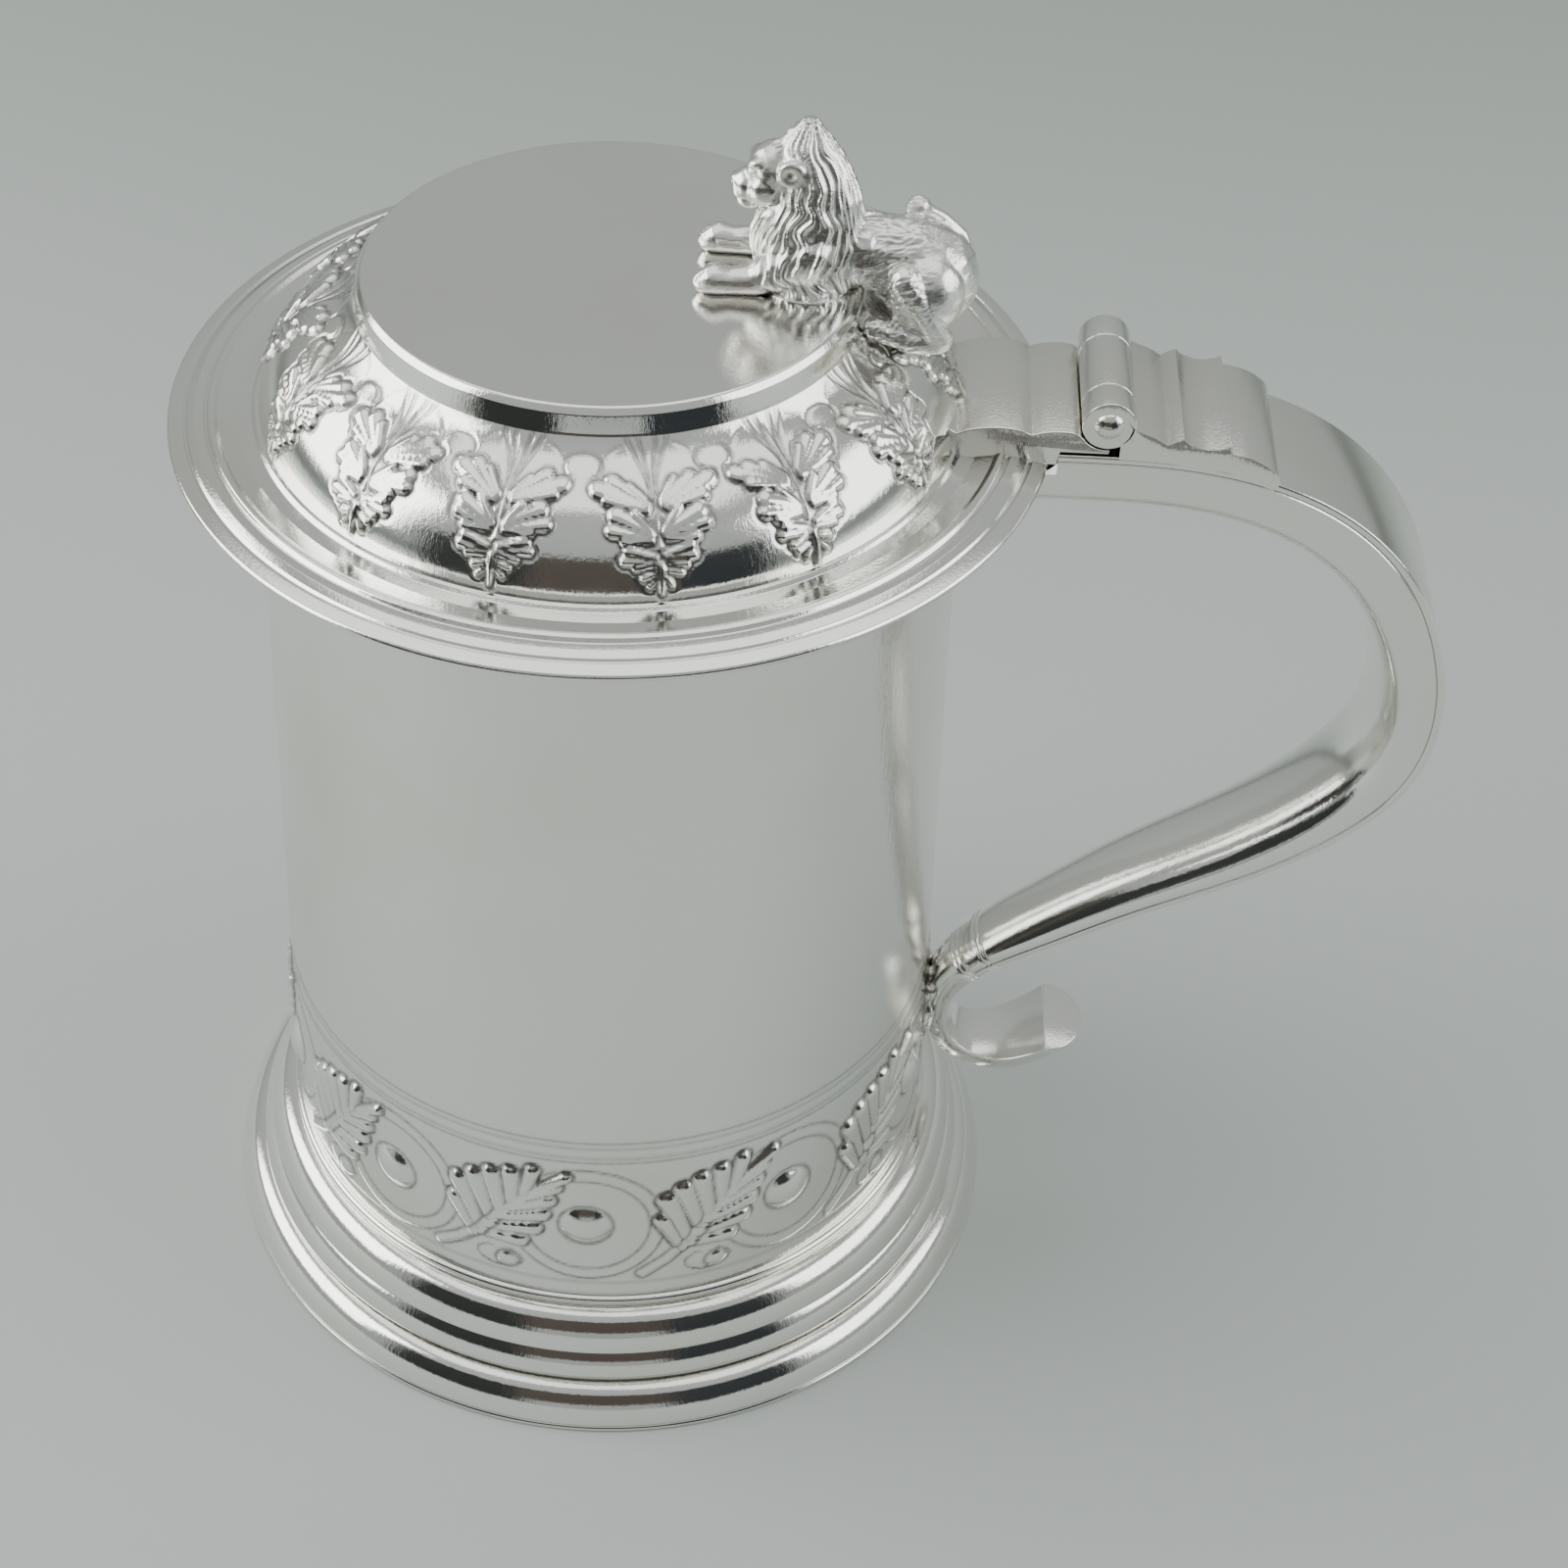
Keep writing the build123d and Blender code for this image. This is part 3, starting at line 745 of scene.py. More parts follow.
def make_drum(bright, chased):
    low_rows = [(drum_r(z), z) for z in np.linspace(FRIEZE_LOW, FRIEZE_HIGH, FRIEZE_ROWS)]
    outline = [
        (drum_r(FOOT_TOP_Z) - WALL, FOOT_TOP_Z),
        (drum_r(FOOT_TOP_Z), FOOT_TOP_Z),
        *low_rows,
        (drum_r(FRIEZE_HIGH + 1), FRIEZE_HIGH + 1),
        (drum_r(FRIEZE_HIGH + 3), FRIEZE_HIGH + 3),
        (drum_r(110), 110),
        (MOUTH_R, MOUTH_Z),
        (MOUTH_R - WALL, MOUTH_Z),
    ]
    drum = piece(turned(outline, FRIEZE_COLUMNS), "drum_body", chased, ["drum_wall"])
    points = read_points(drum, "co") / MM
    radius, angle = around_axis(points)
    z = points[:, 2]
    outer = (radius > drum_r(z) - WALL / 2) & (z >= FRIEZE_LOW) & (z <= FRIEZE_HIGH)
    relief, recess = frieze_relief(angle, z)
    out = np.stack([np.cos(angle), np.sin(angle), np.zeros_like(angle)], -1)
    raise_relief(drum, points, relief * outer, recess * outer, out)
    store(drum, "inside", radius < drum_r(z) - WALL / 2)

    rim = drum_r(BASE_Z) - WALL
    base_top = BASE_Z + BASE_THICK
    base = softened([(0, BASE_Z), (rim, BASE_Z), (rim, base_top), (0, base_top)], 0.2,
                    closed=False)
    piece(turned(base, 256, closed=False), "base_disc", bright, ["drum_bottom"])

    low = MOUTH_Z - BAND_DEPTH
    band = softened([
        (drum_r(low) - 0.2, low),
        (drum_r(low) + 0.6, low + 0.5),
        (drum_r(low) + 0.7, low + 2.4),
        (MOUTH_R + 1.0, MOUTH_Z - 2.6),
        (MOUTH_R + 1.0, MOUTH_Z - 0.6),
        (MOUTH_R + 0.7, MOUTH_Z),
        (MOUTH_R - 0.2, MOUTH_Z),
    ], 0.4)
    piece(turned(band), "mouth_moulding", bright, ["lip_band"])


def fall_centre(centre):
    """Centre of the flatter arc that carries a rounded moulding on down."""
    angle = math.radians(FALL_FROM)
    back = FALL_R - TORUS_R
    return (centre[0] - back * math.cos(angle), centre[1] - back * math.sin(angle))


def make_foot(bright):
    bead_z = FOOT_TOP_Z + 0.8
    bead = arc((drum_r(bead_z) - 0.05, bead_z), 0.85, -100, 100, 16)
    piece(turned(bead), "bead_wire", bright, ["foot_bead"])

    fall = arc(fall_centre(UPPER_ROUND), FALL_R, FALL_FROM, FALL_TO, 14)
    lean = math.radians(FALL_FROM)
    step_centre = (STEP_TOP[0] - STEP_R * math.cos(lean), STEP_TOP[1] - STEP_R * math.sin(lean))
    step = arc(step_centre, STEP_R, FALL_FROM, FALL_TO, 12)
    toe = step[-1]
    upper = [
        *arc(UPPER_ROUND, TORUS_R, 90, FALL_FROM, 14),
        *fall[1:],
        *softened([fall[-1], (59.97, 12.78), (59.9, 12.6), step[0]], 0.2, closed=False)[1:-1],
        *step,
        *softened([
            toe,
            (toe[0] - 0.1, toe[1] - 0.5),
            (SKIRT_R, SKIRT_TOP_Z + 0.7),
            (SKIRT_R, SKIRT_TOP_Z),
            (SKIRT_BORE_R, SKIRT_TOP_Z),
        ], 0.3, closed=False)[1:],
        (58.0, 10.6),
        (57.2, 13.0),
        (55.4, 14.6),
        (52.6, UPPER_ROUND[1]),
        (52.6, FOOT_TOP_Z),
    ]
    piece(turned(upper), "upper_moulding", bright, ["foot_upper_moulding"], crisp=40)

    fall = arc(fall_centre(LOWER_ROUND), FALL_R, FALL_FROM, FALL_TO, 16)
    inner = arc(fall_centre(LOWER_ROUND), FALL_R - SKIRT_THICK, FALL_TO + 2, FALL_FROM, 10)
    skirt = [
        *arc(LOWER_ROUND, TORUS_R, 99.6, FALL_FROM, 22),
        *fall[1:],
        (fall[-1][0], FLANGE_TOP_Z),
        (inner[0][0], FLANGE_TOP_Z),
        *inner,
        *arc(LOWER_ROUND, TORUS_R - SKIRT_THICK, FALL_FROM, 150, 14)[1:],
        (SKIRT_BORE_R, 5.2),
        (SKIRT_BORE_R, SKIRT_TOP_Z),
    ]
    piece(turned(skirt), "skirt_moulding", bright, ["foot_skirt"], crisp=40)

    rim = softened([
        (60.5, 0.0),
        (66.0, 0.0),
        (66.3, 0.3),
        (66.3, 0.75),
        (66.1, 0.95),
        (65.99, FLANGE_TOP_Z),
        (60.5, FLANGE_TOP_Z),
    ], 0.3)
    piece(turned(rim), "foot_flange", bright, ["foot_rim"])


# -------------------- lid

def make_lid(bright, chased):
    under = BRIM_UNDER_Z
    brim = softened([
        (BRIM_BORE_R, under),
        (63.2, under),
        (63.8, under + 0.3),
        (BRIM_R, under + 0.9),
        (63.7, under + 1.35),
        (61.75, under + 1.8),
        (61.35, under + 1.45),
        (61.0, under + 1.9),
        (59.9, under + 2.4),
        (58.65, under + 2.5),
        (58.3, under + 2.15),
        (57.9, under + 2.85),
        (57.2, under + 3.0),
        (56.5, under + 2.55),
        (53.8, under + 2.05),
        (51.8, under + 2.12),
        (51.2, under + 2.65),
        (50.2, under + 2.75),
        (49.6, under + 2.5),
        (BRIM_BORE_R, under + 1.5),
    ], 0.42, steps=5)
    piece(turned(brim), "lid_flange", bright, ["lid_brim"], "lid", crisp=48)

    rows = dome_outer()
    outer = [(r, z) for r, z, _, _, _ in rows]
    inner = [(r - SHEET * out_r, z - SHEET * out_z) for r, z, out_r, out_z, _ in rows[::-9]]
    columns = LEAVES * LEAF_COLUMNS
    dome = piece(turned(outer + inner, columns), "raised_dome", chased, ["lid_dome"], "lid",
                 crisp=75)
    points = read_points(dome, "co") / MM
    radius, angle = around_axis(points)
    table = np.array(rows)
    gap = np.hypot(radius[:, None] - table[None, :, 0], points[:, 2:3] - table[None, :, 1])
    row = gap.argmin(1)
    outer_face = gap.min(1) < 0.05
    way = table[row, 2:4]
    relief, recess = dome_relief(angle, radius, table[row, 4])
    out = np.stack([way[:, 0] * np.cos(angle), way[:, 0] * np.sin(angle), way[:, 1]], -1)
    raise_relief(dome, points, relief * outer_face, recess * outer_face, out)

    seam_r, seam_z = table[0, :2]
    collar = softened([
        (seam_r - 0.9, seam_z - 0.6),
        (seam_r + 0.12, seam_z - 0.25),
        (seam_r - 0.05, seam_z + 0.35),
        (seam_r - COLLAR_LEAN - 0.05, CROWN_TOP_Z - 1.0),
        (seam_r - COLLAR_LEAN - 0.75, CROWN_TOP_Z - 0.02),
        (seam_r - COLLAR_LEAN - 1.5, CROWN_TOP_Z),
    ], 0.6, steps=6, closed=False)
    under_z = CROWN_TOP_Z - CROWN_THICK
    crown = [(0, CROWN_TOP_Z), (20.0, CROWN_TOP_Z), *collar[::-1], (seam_r - 2.4, under_z),
             (0, under_z)]
    piece(turned(crown, closed=False), "crown_plate", bright, ["lid_crown"], "lid", crisp=50)

    low = under - BEZEL_DEPTH
    bezel = softened([
        (48.2, low),
        (48.9, low),
        (49.2, low + 1.0),
        (49.2, under + 0.1),
        (48.2, under + 0.1),
    ], 0.3)
    piece(turned(bezel), "bezel_ring", bright, ["lid_bezel"], "lid")


# -------------------- handle

def natural_spline(rows):
    """Smooth curve through rows of numbers, by the distance along their first two columns."""
    table = np.array(rows, float)
    run = np.concatenate([[0], np.cumsum(np.hypot(*np.diff(table[:, :2], axis=0).T))])
    count = len(run)
    step = np.diff(run)
    matrix = np.zeros((count, count))
    right = np.zeros((count, table.shape[1]))
    matrix[0, 0] = matrix[-1, -1] = 1
    for i in range(1, count - 1):
        matrix[i, i - 1:i + 2] = step[i - 1], 2 * (step[i - 1] + step[i]), step[i]
        ahead = (table[i + 1] - table[i]) / step[i]
        right[i] = 6 * (ahead - (table[i] - table[i - 1]) / step[i - 1])
    bend = np.linalg.solve(matrix, right)

    def at(where):
        i = int(np.clip(np.searchsorted(run, where) - 1, 0, count - 2))
        a, b, h = run[i + 1] - where, where - run[i], step[i]
        return (bend[i] * a ** 3 + bend[i + 1] * b ** 3) / (6 * h) \
            + (table[i] / h - bend[i] * h / 6) * a + (table[i + 1] / h - bend[i + 1] * h / 6) * b
    return at, run


def handle_frame(at, where):
    """Place on the handle's back face, its way inward, and its half width, depth and side."""
    here = at(where)
    ahead = at(where + 0.05) - at(where - 0.05)
    way = ahead[:2] / np.hypot(*ahead[:2])
    return here[:2], np.array([way[1], -way[0]]), here[2:]


def place_section(at, where, outline, shrink=0.0):
    """Ring of points for a section outline of (across, depth) pairs, less a little all round."""
    spot, inward, (half, depth, _) = handle_frame(at, where)
    ring = []
    for across, deep in outline:
        across *= 1 - shrink / half
        deep = depth / 2 + (deep - depth / 2) * (1 - 2 * shrink / depth)
        ring.append((spot[0] + inward[0] * deep, -across, spot[1] + inward[1] * deep))
    return ring


def belly(half, depth, side, steps=14):
    """Rounded underside of a section, from one side to the other."""
    points = []
    for i in range(2 * steps + 1):
        angle = math.pi * i / (2 * steps)
        points.append((half * math.cos(angle), side + (depth - side) * math.sin(angle)))
    return points


def runs(start, end, cuts):
    """Places along the handle, closer together at engraved rings."""
    places = list(np.linspace(start, end, max(4, int((end - start) / SWEEP_STEP))))
    for cut in cuts:
        places += [cut + offset for offset in (-0.45, -0.3, -0.15, 0, 0.15, 0.3, 0.45)]
    return sorted(p for p in places if start <= p <= end)


def make_handle(bright):
    at, run = natural_spline(HANDLE)
    start = run[0] + 6.5
    meet = run[SCROLL_FROM]
    end = run[-1]
    cuts = [meet - 3.4, meet - 2.5, meet + 0.9, meet + 1.8]

    def groove(where):
        return RING_DEPTH * max([math.exp(-((where - cut) / 0.2) ** 2) for cut in cuts])

    back_rings = []
    shell_rings = []
    for where in runs(start, meet, cuts):
        half, depth, side = handle_frame(at, where)[2]
        seat = STRAP - 0.02
        back = softened([(half, 0), (half, seat), (-half, seat), (-half, 0)], 0.3, steps=3)
        back_rings.append(place_section(at, where, back, groove(where)))
        lower = belly(half, depth, max(side, STRAP + 0.4))
        narrow = 1 - SHELL / half
        shallow = 1 - SHELL / (depth - STRAP)
        inner = [(x * narrow, STRAP + (d - STRAP) * shallow) for x, d in lower]
        top = STRAP + 0.02
        shell = [
            (half - 0.18, top),
            (half, top + 0.18),
            *lower,
            (-half, top + 0.18),
            (-half + 0.18, top),
            (-half + SHELL, top),
            *inner[::-1],
            (half - SHELL, top),
        ]
        shell_rings.append(place_section(at, where, shell, groove(where)))
    for name, rings, node_name in (("handle_back", back_rings, "handle_back_strap"),
                                   ("handle_body", shell_rings, "handle_shell")):
        bm = loops_bridged(rings)
        trim_to_brim(bm)
        piece(bm, name, bright, [node_name], crisp=40)

    scroll_rings = []
    for where in runs(meet, end, cuts):
        half, depth, side = handle_frame(at, where)[2]
        under = belly(half, depth, side)
        outline = softened([(half, 0), *under, (-half, 0)], 0.22, steps=2)
        scroll_rings.append(place_section(at, where, outline, groove(where)))
    piece(loops_bridged(scroll_rings), "scroll", bright, ["handle_scroll"], crisp=40)

    x, z, half = HANDLE[-1][:3]
    end_round = [(x + PLATE_LENGTH * math.sin(a), -half * math.cos(a))
                 for a in np.linspace(0, math.pi, 33)]
    plan = [(x - 0.4, -half), *end_round, (x - 0.4, half)]
    bm = bmesh.new()
    face = bm.faces.new([bm.verts.new((px, py, z)) for px, py in plan])
    lower = extruded(bm, face, (0, 0, -PLATE_THICK))
    about = Matrix.Translation((-x, 0, -z))
    bmesh.ops.scale(bm, vec=(0.75, 0.86, 1), verts=lower, space=about)
    bmesh.ops.recalc_face_normals(bm, faces=bm.faces)
    rims = [e for e in bm.edges if abs(e.verts[0].co.z - e.verts[1].co.z) < 0.01]
    bmesh.ops.bevel(bm, geom=rims, offset=0.35, segments=3, profile=0.5, affect="EDGES",
                    material=-1)
    piece(bm, "scroll_plate", bright, ["scroll_shield"], crisp=45)


def trim_to_brim(bm):
    """Cut away the handle's upper end where the lid's brim closes over it."""
    geom = bm.verts[:] + bm.edges[:] + bm.faces[:]
    bmesh.ops.bisect_plane(bm, geom=geom, plane_co=(TRIM_X, 0, 0), plane_no=(1, 0, 0),
                           dist=0.0001)
    near = [f for f in bm.faces if f.calc_center_median().x < TRIM_X]
    rest = list({e for f in near for e in f.edges})
    points = list({v for f in near for v in f.verts})
    bmesh.ops.bisect_plane(bm, geom=points + rest + near, plane_co=(0, 0, MOUTH_Z),
                           plane_no=(0, 0, 1), dist=0.0001)
    centres = [(f, f.calc_center_median()) for f in bm.faces]
    gone = [f for f, centre in centres if centre.x < TRIM_X and centre.z > MOUTH_Z]
    bmesh.ops.delete(bm, geom=gone, context="FACES")
    bmesh.ops.holes_fill(bm, edges=[e for e in bm.edges if e.is_boundary])
    bmesh.ops.recalc_face_normals(bm, faces=bm.faces)


# -------------------- hinge

def curve_through(points, steps=6, corners=()):
    """Smooth outline through points, with sharp corners at the given places."""
    made = []
    count = len(points)
    for i in range(count - 1):
        p1, p2 = np.array(points[i]), np.array(points[i + 1])
        p0 = np.array(points[i - 1]) if i and i not in corners else 2 * p1 - p2
        p3 = np.array(points[i + 2]) if i + 2 < count and i + 1 not in corners else 2 * p2 - p1
        for k in range(steps):
            t = k / steps
            square = (2 * p0 - 5 * p1 + 4 * p2 - p3) * t * t
            cube = (3 * p1 - p0 - 3 * p2 + p3) * t ** 3
            made.append(tuple(0.5 * (2 * p1 + (p2 - p0) * t + square + cube)))
    made.append(tuple(points[-1]))
    return made


def make_hinge(worn):
    top = curve_through([
        (73.0, 167.3),
        (74.2, 165.75),
        (75.5, 165.1),
        (77.6, 164.25),
        (79.1, 163.3),
        (80.2, 163.95),
        (81.2, 164.4),
        (82.4, 163.5),
        (84.6, 162.9),
        (86.4, 163.1),
        (87.9, 163.6),
        (88.2, 162.3),
        (90.6, 161.85),
        (93.0, 160.75),
        (94.8, 159.3),
        (95.4, 157.7),
    ], corners=(4, 6, 10, 11))
    bracket = [*top, (94.6, 156.6), (88.0, 159.2), (80.0, 160.2), (72.6, 160.5), (72.6, 162.8),
               (73.6, 164.2), (74.0, 165.6)]
    piece(prism(bracket, HINGE_HALF, 0.22), "bracket", worn, ["hinge_bracket"],
          crisp=38)

    pad = curve_through([
        (46.8, 162.0),
        (47.2, 163.9),
        (48.4, 164.25),
        (49.7, 163.55),
        (51.8, 164.4),
        (55.3, 164.85),
        (58.4, 164.6),
        (60.2, 163.85),
        (62.4, 164.5),
        (64.9, 164.65),
        (66.6, 164.3),
        (67.6, 163.4),
    ], corners=(3, 7))
    lip = arc((AXIS_X, AXIS_Z), KNUCKLE_R + 0.3, 222, 277, 8)
    plate = [*pad, *lip, (71.1, 161.25), (64.4, 161.2), (64.0, 159.0), (50.0, 159.0)]
    piece(prism(plate, HINGE_HALF, 0.22), "lid_plate", worn, ["lid_hinge_plate"], "lid",
          crisp=38)

    half = CENTRE_HALF - 0.1
    for name, body, low, high, node_name in (
            ("knuckle_near", "vessel", -HINGE_HALF, -CENTRE_HALF, "hinge_knuckle_near"),
            ("knuckle_centre", "lid", -half, half, "hinge_knuckle_centre"),
            ("knuckle_far", "vessel", CENTRE_HALF, HINGE_HALF, "hinge_knuckle_far")):
        outline = softened([
            (KNUCKLE_BORE_R, low),
            (KNUCKLE_R, low),
            (KNUCKLE_R, high),
            (KNUCKLE_BORE_R, high),
        ], 0.22)
        piece(on_hinge_axis(turned(outline, 128)), name, worn, [node_name], body)

    head = [(0.0, 1.0), *arc((0, -1.7), 2.7, 80, 47, 8), (1.95, 0.12), (2.05, 0.0)]
    head = [(r, HINGE_HALF + rise) for r, rise in head]
    mirrored = [(r, -z) for r, z in head[::-1]]
    shaft = [(SHAFT_R, HINGE_HALF - 0.2), (SHAFT_R, -HINGE_HALF + 0.2)]
    pin = turned([*head, *shaft, *mirrored], 96, closed=False)
    piece(on_hinge_axis(pin), "pin", worn, ["hinge_pin"], crisp=50)


def on_hinge_axis(bm):
    """Lay an upright turned part along the hinge axis."""
    turn = Matrix.Rotation(math.radians(90), 4, "X")
    bmesh.ops.transform(bm, matrix=turn, verts=bm.verts)
    bmesh.ops.translate(bm, vec=(AXIS_X, 0, AXIS_Z), verts=bm.verts)
    return bm


# -------------------- lion

LION_VOXEL = 0.22
LION_SMOOTHINGS = 5
LOCK_DEPTH = 0.36

# Balls: centre, radii, and tilt about Y in degrees
LION_BALLS = [
    ((22.7, 0, 197.3), (4.1, 3.9, 4.2), 0),
    ((19.1, 0, 194.8), (2.5, 2.5, 2.6), 0),
    ((17.3, 0, 195.7), (0.95, 1.3, 0.8), -20),
    ((19.0, 0, 192.4), (1.7, 1.6, 1.1), 10),
    ((45.4, 0, 181.4), (6.1, 6.4, 6.6), 0),
]
LION_SIDE_BALLS = [
    ((20.2, 1.9, 199.1), (1.6, 1.1, 0.8), -22),
    ((21.4, 2.6, 195.3), (2.3, 1.6, 2.3), 0),
    ((18.2, 1.1, 194.2), (1.3, 1.1, 1.25), 0),
    ((24.9, 4.3, 198.9), (2.0, 1.1, 2.1), 0),
    ((44.0, 4.3, 181.2), (5.4, 4.4, 6.2), 14),
]
# Body, limbs and tail as runs of (x, y, z, radius); the spine is on the middle line
LION_SPINE = [(28.0, 0, 186.6, 6.2), (33.0, 0, 185.8, 5.7), (38.0, 0, 185.2, 5.4),
              (42.0, 0, 184.4, 5.9), (45.0, 0, 182.8, 6.3)]
LION_LIMBS = [
    [(13.6, 5.5, 182.6, 1.8), (14.8, 5.5, 183.0, 2.3), (17.0, 5.4, 182.7, 2.0),
     (20.5, 5.3, 183.0, 2.3), (24.0, 5.0, 184.9, 3.2), (28.5, 4.4, 187.0, 4.2)],
    [(41.0, 6.9, 184.9, 2.3), (42.6, 7.2, 182.4, 2.2), (44.8, 7.0, 178.6, 2.0),
     (46.4, 6.6, 175.8, 2.0)],
    [(46.2, 6.6, 175.4, 2.0), (42.4, 6.7, 175.2, 1.8), (38.4, 6.9, 176.8, 1.7),
     (37.2, 6.9, 177.2, 1.6)],
]
LION_TAIL = [(49.8, 2.0, 179.0, 1.0), (50.2, 5.0, 181.0, 1.0), (48.8, 7.0, 184.2, 1.0),
             (46.0, 6.7, 187.0, 0.95), (43.6, 5.6, 188.9, 1.0), (42.4, 5.2, 189.4, 1.8)]
# Mane: height, front edge, back edge, half width
MANE = [
    (180.8, 21.0, 34.6, 7.6),
    (183.0, 20.4, 35.2, 7.7),
    (186.0, 19.6, 35.4, 7.6),
    (189.0, 19.6, 35.4, 7.3),
    (191.5, 20.6, 34.9, 6.8),
    (194.0, 22.2, 34.3, 6.2),
    (197.0, 22.9, 33.1, 5.5),
    (199.5, 22.6, 31.8, 4.6),
    (202.0, 23.5, 30.1, 3.2),
    (203.8, 25.0, 28.8, 1.8),
    (205.2, 26.4, 27.7, 0.6),
]


def ball(bm, centre, radii, tilt, level=3):
    made = bmesh.ops.create_icosphere(bm, subdivisions=level, radius=1.0)
    verts = made["verts"]
    bmesh.ops.scale(bm, vec=radii, verts=verts)
    bmesh.ops.transform(bm, matrix=Matrix.Rotation(math.radians(tilt), 4, "Y"), verts=verts)
    bmesh.ops.translate(bm, vec=centre, verts=verts)


def limb(bm, points, side=1, steps=7):
    """Run of balls through (x, y, z, radius) points."""
    for a, b in zip(points, points[1:]):
        for k in range(steps + 1):
            x, y, z, r = (p + (q - p) * k / steps for p, q in zip(a, b))
            ball(bm, (x, side * y, z), (r, r, r), 0, 2)


def mane_at(z):
    """Middle x, front and back reach, and half width of the mane at a height."""
    levels, front, back, half = np.array(MANE).T
    head, tail = np.interp(z, levels, front), np.interp(z, levels, back)
    middle = head + (tail - head) * 0.5
    return middle, (tail - head) / 2, np.interp(z, levels, half)


def add_mane(bm):
    rings = []
    for z in np.linspace(MANE[0][0], MANE[-1][0], 34):
        middle, along, over = mane_at(z)
        rings.append([(middle + along * math.cos(a), over * math.sin(a), z)
                      for a in np.linspace(0, FULL_TURN, 48, endpoint=False)])
    bm.from_mesh(mesh_from(loops_bridged(rings), "mane"))


def spots(points, scale):
    """Smooth noise at each point, from -1 to 1."""
    return np.array([mathutils_noise.noise(Vector(p) * scale) for p in points])


def hair(points):
    """Height of the mane's wavy locks, from -1 to 1, and how much of the mane covers each point."""
    x, y, z = points.T
    middle, along, over = mane_at(z)
    around = np.arctan2(y / over, (x - middle) / along)
    out = np.hypot(y / over, (x - middle) / along)
    drift = spots(points, 0.22)
    ripple = spots(points + 40.0, 0.6)
    turn = around + 0.075 * np.sin(0.75 * z + 2.5 * drift) + 0.13 * drift + 0.035 * ripple
    wide = np.sin(8 * turn + 0.8 * drift)
    fine = np.sin(22 * turn + 1.5 * drift + 0.4 * np.sin(1.3 * z))
    hairs = np.sin(49 * turn + 2.0 * drift)
    height = 0.28 * wide + 0.44 * fine + 0.28 * hairs
    face = smooth_step(4.4, 5.6, np.sqrt((x - 19.6) ** 2 + (y * 0.9) ** 2 + (z - 196.0) ** 2))
    from_ear = np.sqrt((x - 24.9) ** 2 + ((np.abs(y) - 4.6) * 0.7) ** 2 + (z - 198.9) ** 2)
    ear = smooth_step(1.9, 2.5, from_ear)
    cover = smooth_step(0.78, 0.92, out) * (1 - smooth_step(1.15, 1.4, out))
    cover = cover * smooth_step(181.0, 181.8, z)
    return height, cover * face * ear


def coat(points):
    """Short combed strokes over the back, flank and limbs."""
    x, y, z = points.T
    warp = spots(points, 0.5)
    combed = np.stack([0.5 * x + 0.35 * z, y * 2.6, 2.6 * z - 1.1 * x + 1.5 * warp], -1)
    strokes = spots(combed, 1.0)
    flank = smooth_step(33.0, 35.5, x) * (1 - smooth_step(41.0, 46.0, x))
    return strokes, 0.02 + 0.15 * flank


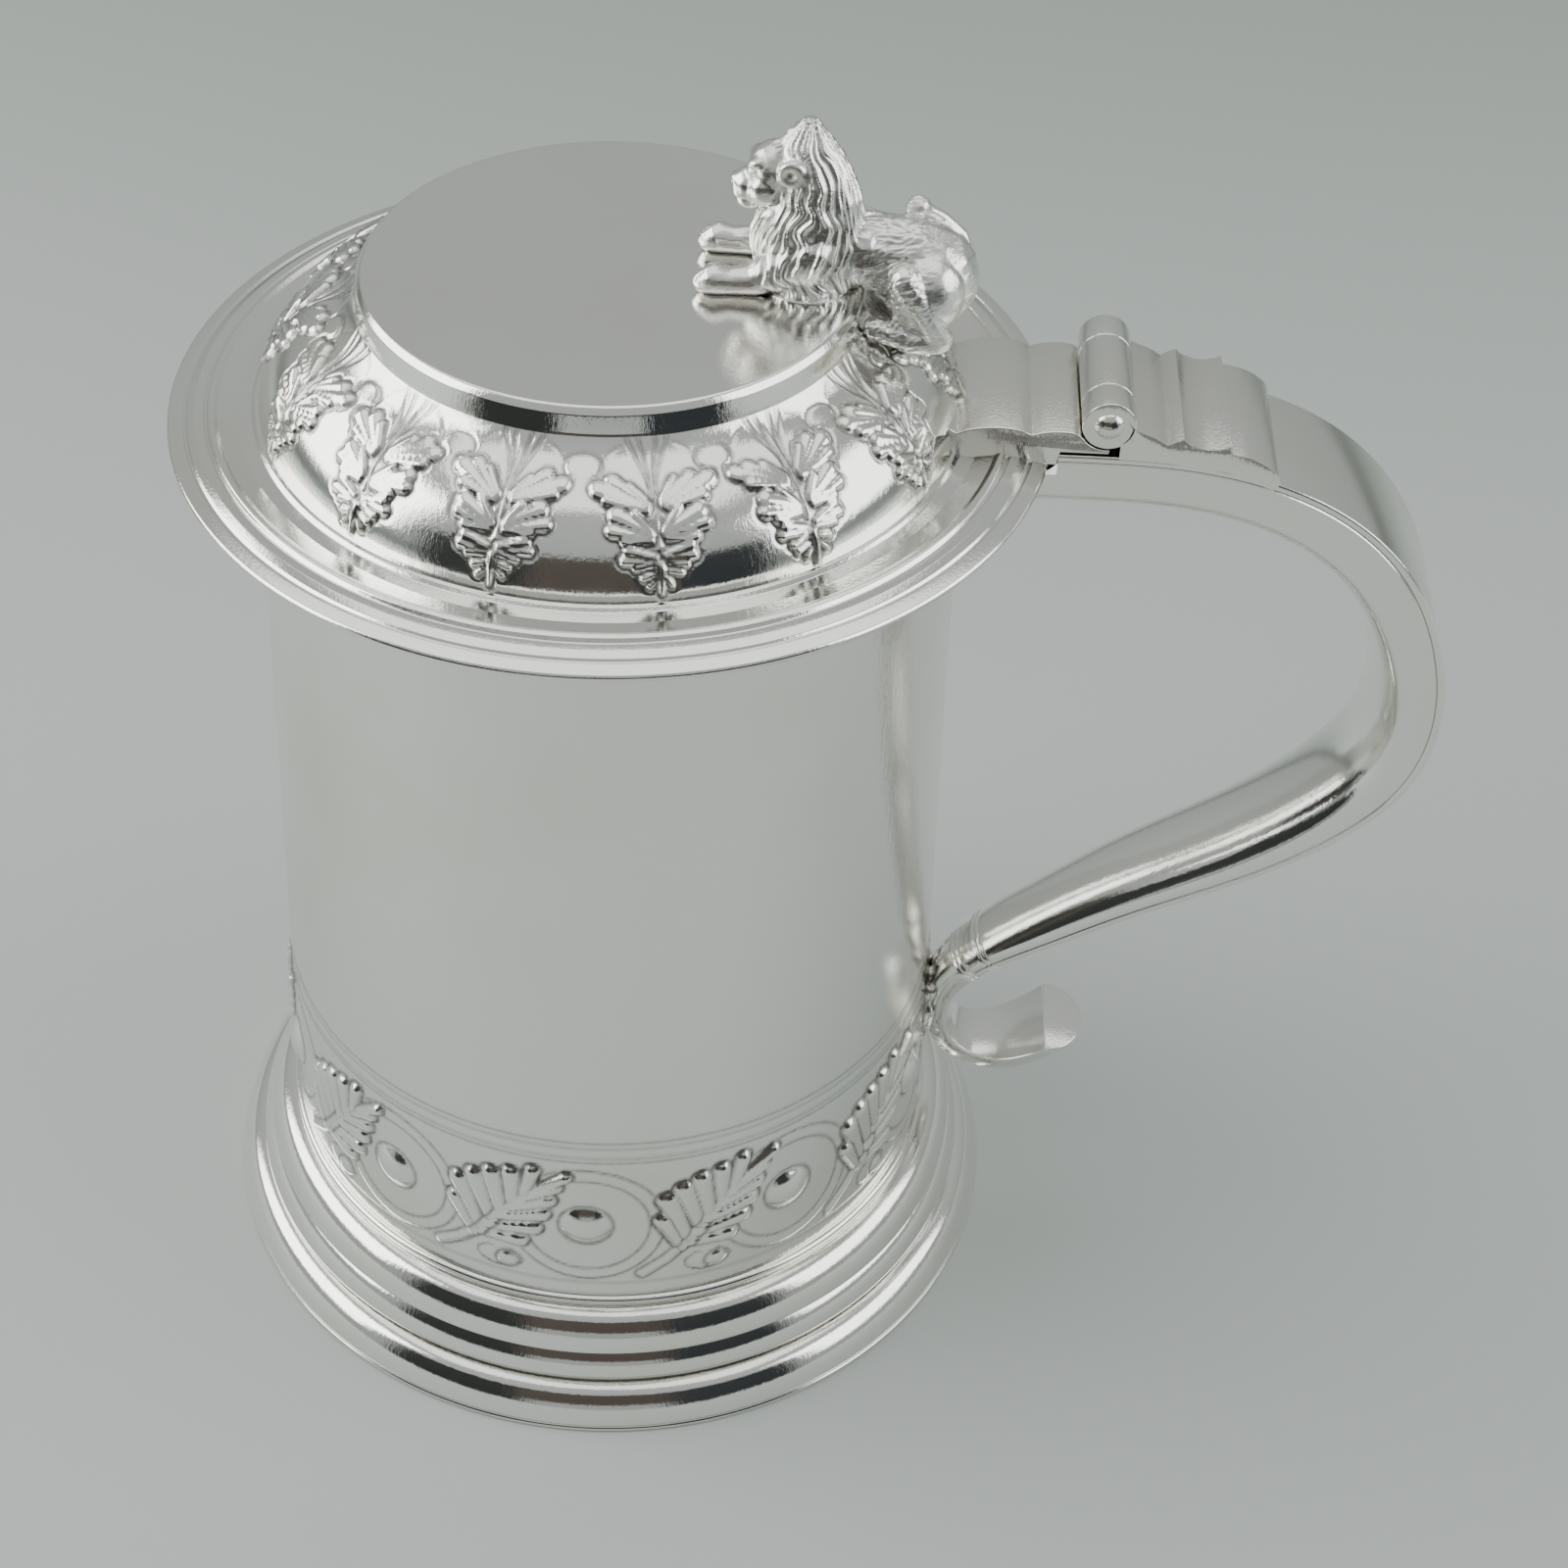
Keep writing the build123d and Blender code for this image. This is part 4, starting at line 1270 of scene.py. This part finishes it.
def make_lion(cast):
    bm = bmesh.new()
    for centre, radii, tilt in LION_BALLS:
        ball(bm, centre, radii, tilt)
    limb(bm, LION_SPINE)
    limb(bm, LION_TAIL)
    for side in (-1, 1):
        for (x, y, z), radii, tilt in LION_SIDE_BALLS:
            ball(bm, (x, side * y, z), radii, tilt)
        for points in LION_LIMBS:
            limb(bm, points, side)
    add_mane(bm)
    holder = placed("lion_holder", mesh_from(bm, "lion_rough"))
    remesh = holder.modifiers.new("even", "REMESH")
    remesh.mode = "VOXEL"
    remesh.voxel_size = LION_VOXEL
    remesh.adaptivity = 0.0
    shown = bpy.context.evaluated_depsgraph_get()
    even = bpy.data.meshes.new_from_object(holder.evaluated_get(shown))
    bpy.data.objects.remove(holder)
    bm = bmesh.new()
    bm.from_mesh(even)
    keep_largest(bm)
    for _ in range(LION_SMOOTHINGS):
        bmesh.ops.smooth_vert(bm, verts=bm.verts, factor=0.5, use_axis_x=True, use_axis_y=True,
                              use_axis_z=True)
    bmesh.ops.recalc_face_normals(bm, faces=bm.faces)
    lion = piece(bm, "lion", cast, ["lion_thumbpiece"], "lid", crisp=0)

    points = read_points(lion, "co") / MM
    normals = read_points(lion, "normal")
    x, y, z = points.T
    locks, cover = hair(points)
    strokes, coat_depth = coat(points)
    push = LOCK_DEPTH * locks * cover + coat_depth * strokes * (1 - cover)
    between_strokes = np.clip(-strokes * coat_depth * 5.0, 0, 0.5)
    # recess is painted shade: the cast silver darkens in the mane's furrows, between the coat's
    # strokes, in the carved hollows and in the hollows that hollow_shade finds
    recess = np.clip(-locks * 0.9, 0, 1) * cover + between_strokes * (1 - cover)

    def carve(spot, radius, depth):
        """Round hollow on both sides of the lion, darkened with painted shade, or a bump where its
        depth is below zero.
        """
        nonlocal push, recess
        d = np.sqrt((x - spot[0]) ** 2 + (np.abs(y) - spot[1]) ** 2 + (z - spot[2]) ** 2)
        dip = np.exp(-(d / radius) ** 2)
        push = push - depth * dip
        if depth > 0:
            recess = np.maximum(recess, 0.9 * dip ** 1.5)

    # Eye socket, eye, nostril and ear, then the mouth, and the toes of each paw
    carve((19.5, 2.5, 197.9), 0.75, 0.65)
    carve((19.4, 2.6, 197.8), 0.38, -0.6)
    carve((16.6, 0.6, 195.4), 0.4, 0.35)
    carve((24.6, 5.4, 198.7), 1.15, 1.0)
    for k in range(9):
        carve((16.8 + 0.36 * k, 0.9 + 0.19 * k, 193.4 - 0.05 * k), 0.34, 0.32)
    for k in range(3):
        for j in range(3):
            carve((12.2 + 0.5 * j, 4.4 + 0.95 * k, 183.4 + 0.6 * j), 0.34, 0.3)
        carve((35.8, 6.0 + 0.9 * k, 177.2), 0.45, 0.25)
    recess = np.clip(np.maximum(recess, 0.8 * hollow_shade(lion, points)), 0, 1)
    raise_relief(lion, points, push, recess, normals)


def keep_largest(bm):
    """Keep the largest connected shell."""
    left = set(bm.verts)
    groups = []
    while left:
        seed = left.pop()
        group, edge = {seed}, [seed]
        while edge:
            v = edge.pop()
            for e in v.link_edges:
                other = e.other_vert(v)
                if other in left:
                    left.discard(other)
                    group.add(other)
                    edge.append(other)
        groups.append(group)
    biggest = max(groups, key=len)
    bmesh.ops.delete(bm, geom=[v for g in groups if g is not biggest for v in g], context="VERTS")


def hollow_shade(obj, points):
    """How far each point lies below the mean of its neighbours along its normal, from 0 to 1."""
    mesh = obj.data
    edges = np.zeros(len(mesh.edges) * 2, np.int32)
    mesh.edges.foreach_get("vertices", edges)
    edges = edges.reshape(-1, 2)
    smooth = points.copy()
    for _ in range(6):
        total = np.zeros_like(points)
        number = np.zeros(len(points))
        for a, b in ((0, 1), (1, 0)):
            np.add.at(total, edges[:, a], smooth[edges[:, b]])
            np.add.at(number, edges[:, a], 1)
        smooth = total / np.maximum(number, 1)[:, None]
    below = np.einsum("ij,ij->i", smooth - points, read_points(obj, "normal"))
    return np.clip(below / 0.14, 0, 1) ** 1.2


# -------------------- build

make_camera()
make_studio()

bright_silver = silver("polished_silver", 0.045, 0.6)
chased_silver = silver("chased_silver", 0.09, 0.8, stain=0.7, recess=True)
worn_silver = silver("worn_silver", 0.08, 1.6, stain=0.8)
cast_silver = silver("cast_silver", 0.20, 1.0, stain=0.3, recess=True)

make_drum(bright_silver, chased_silver)
make_foot(bright_silver)
make_lid(bright_silver, chased_silver)
make_handle(bright_silver)
make_hinge(worn_silver)
make_lion(cast_silver)

# The block inside the handle keeps its shape and takes the worn finish
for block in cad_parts.values():
    if not block.hide_render:
        block.data.materials.clear()
        block.data.materials.append(worn_silver)
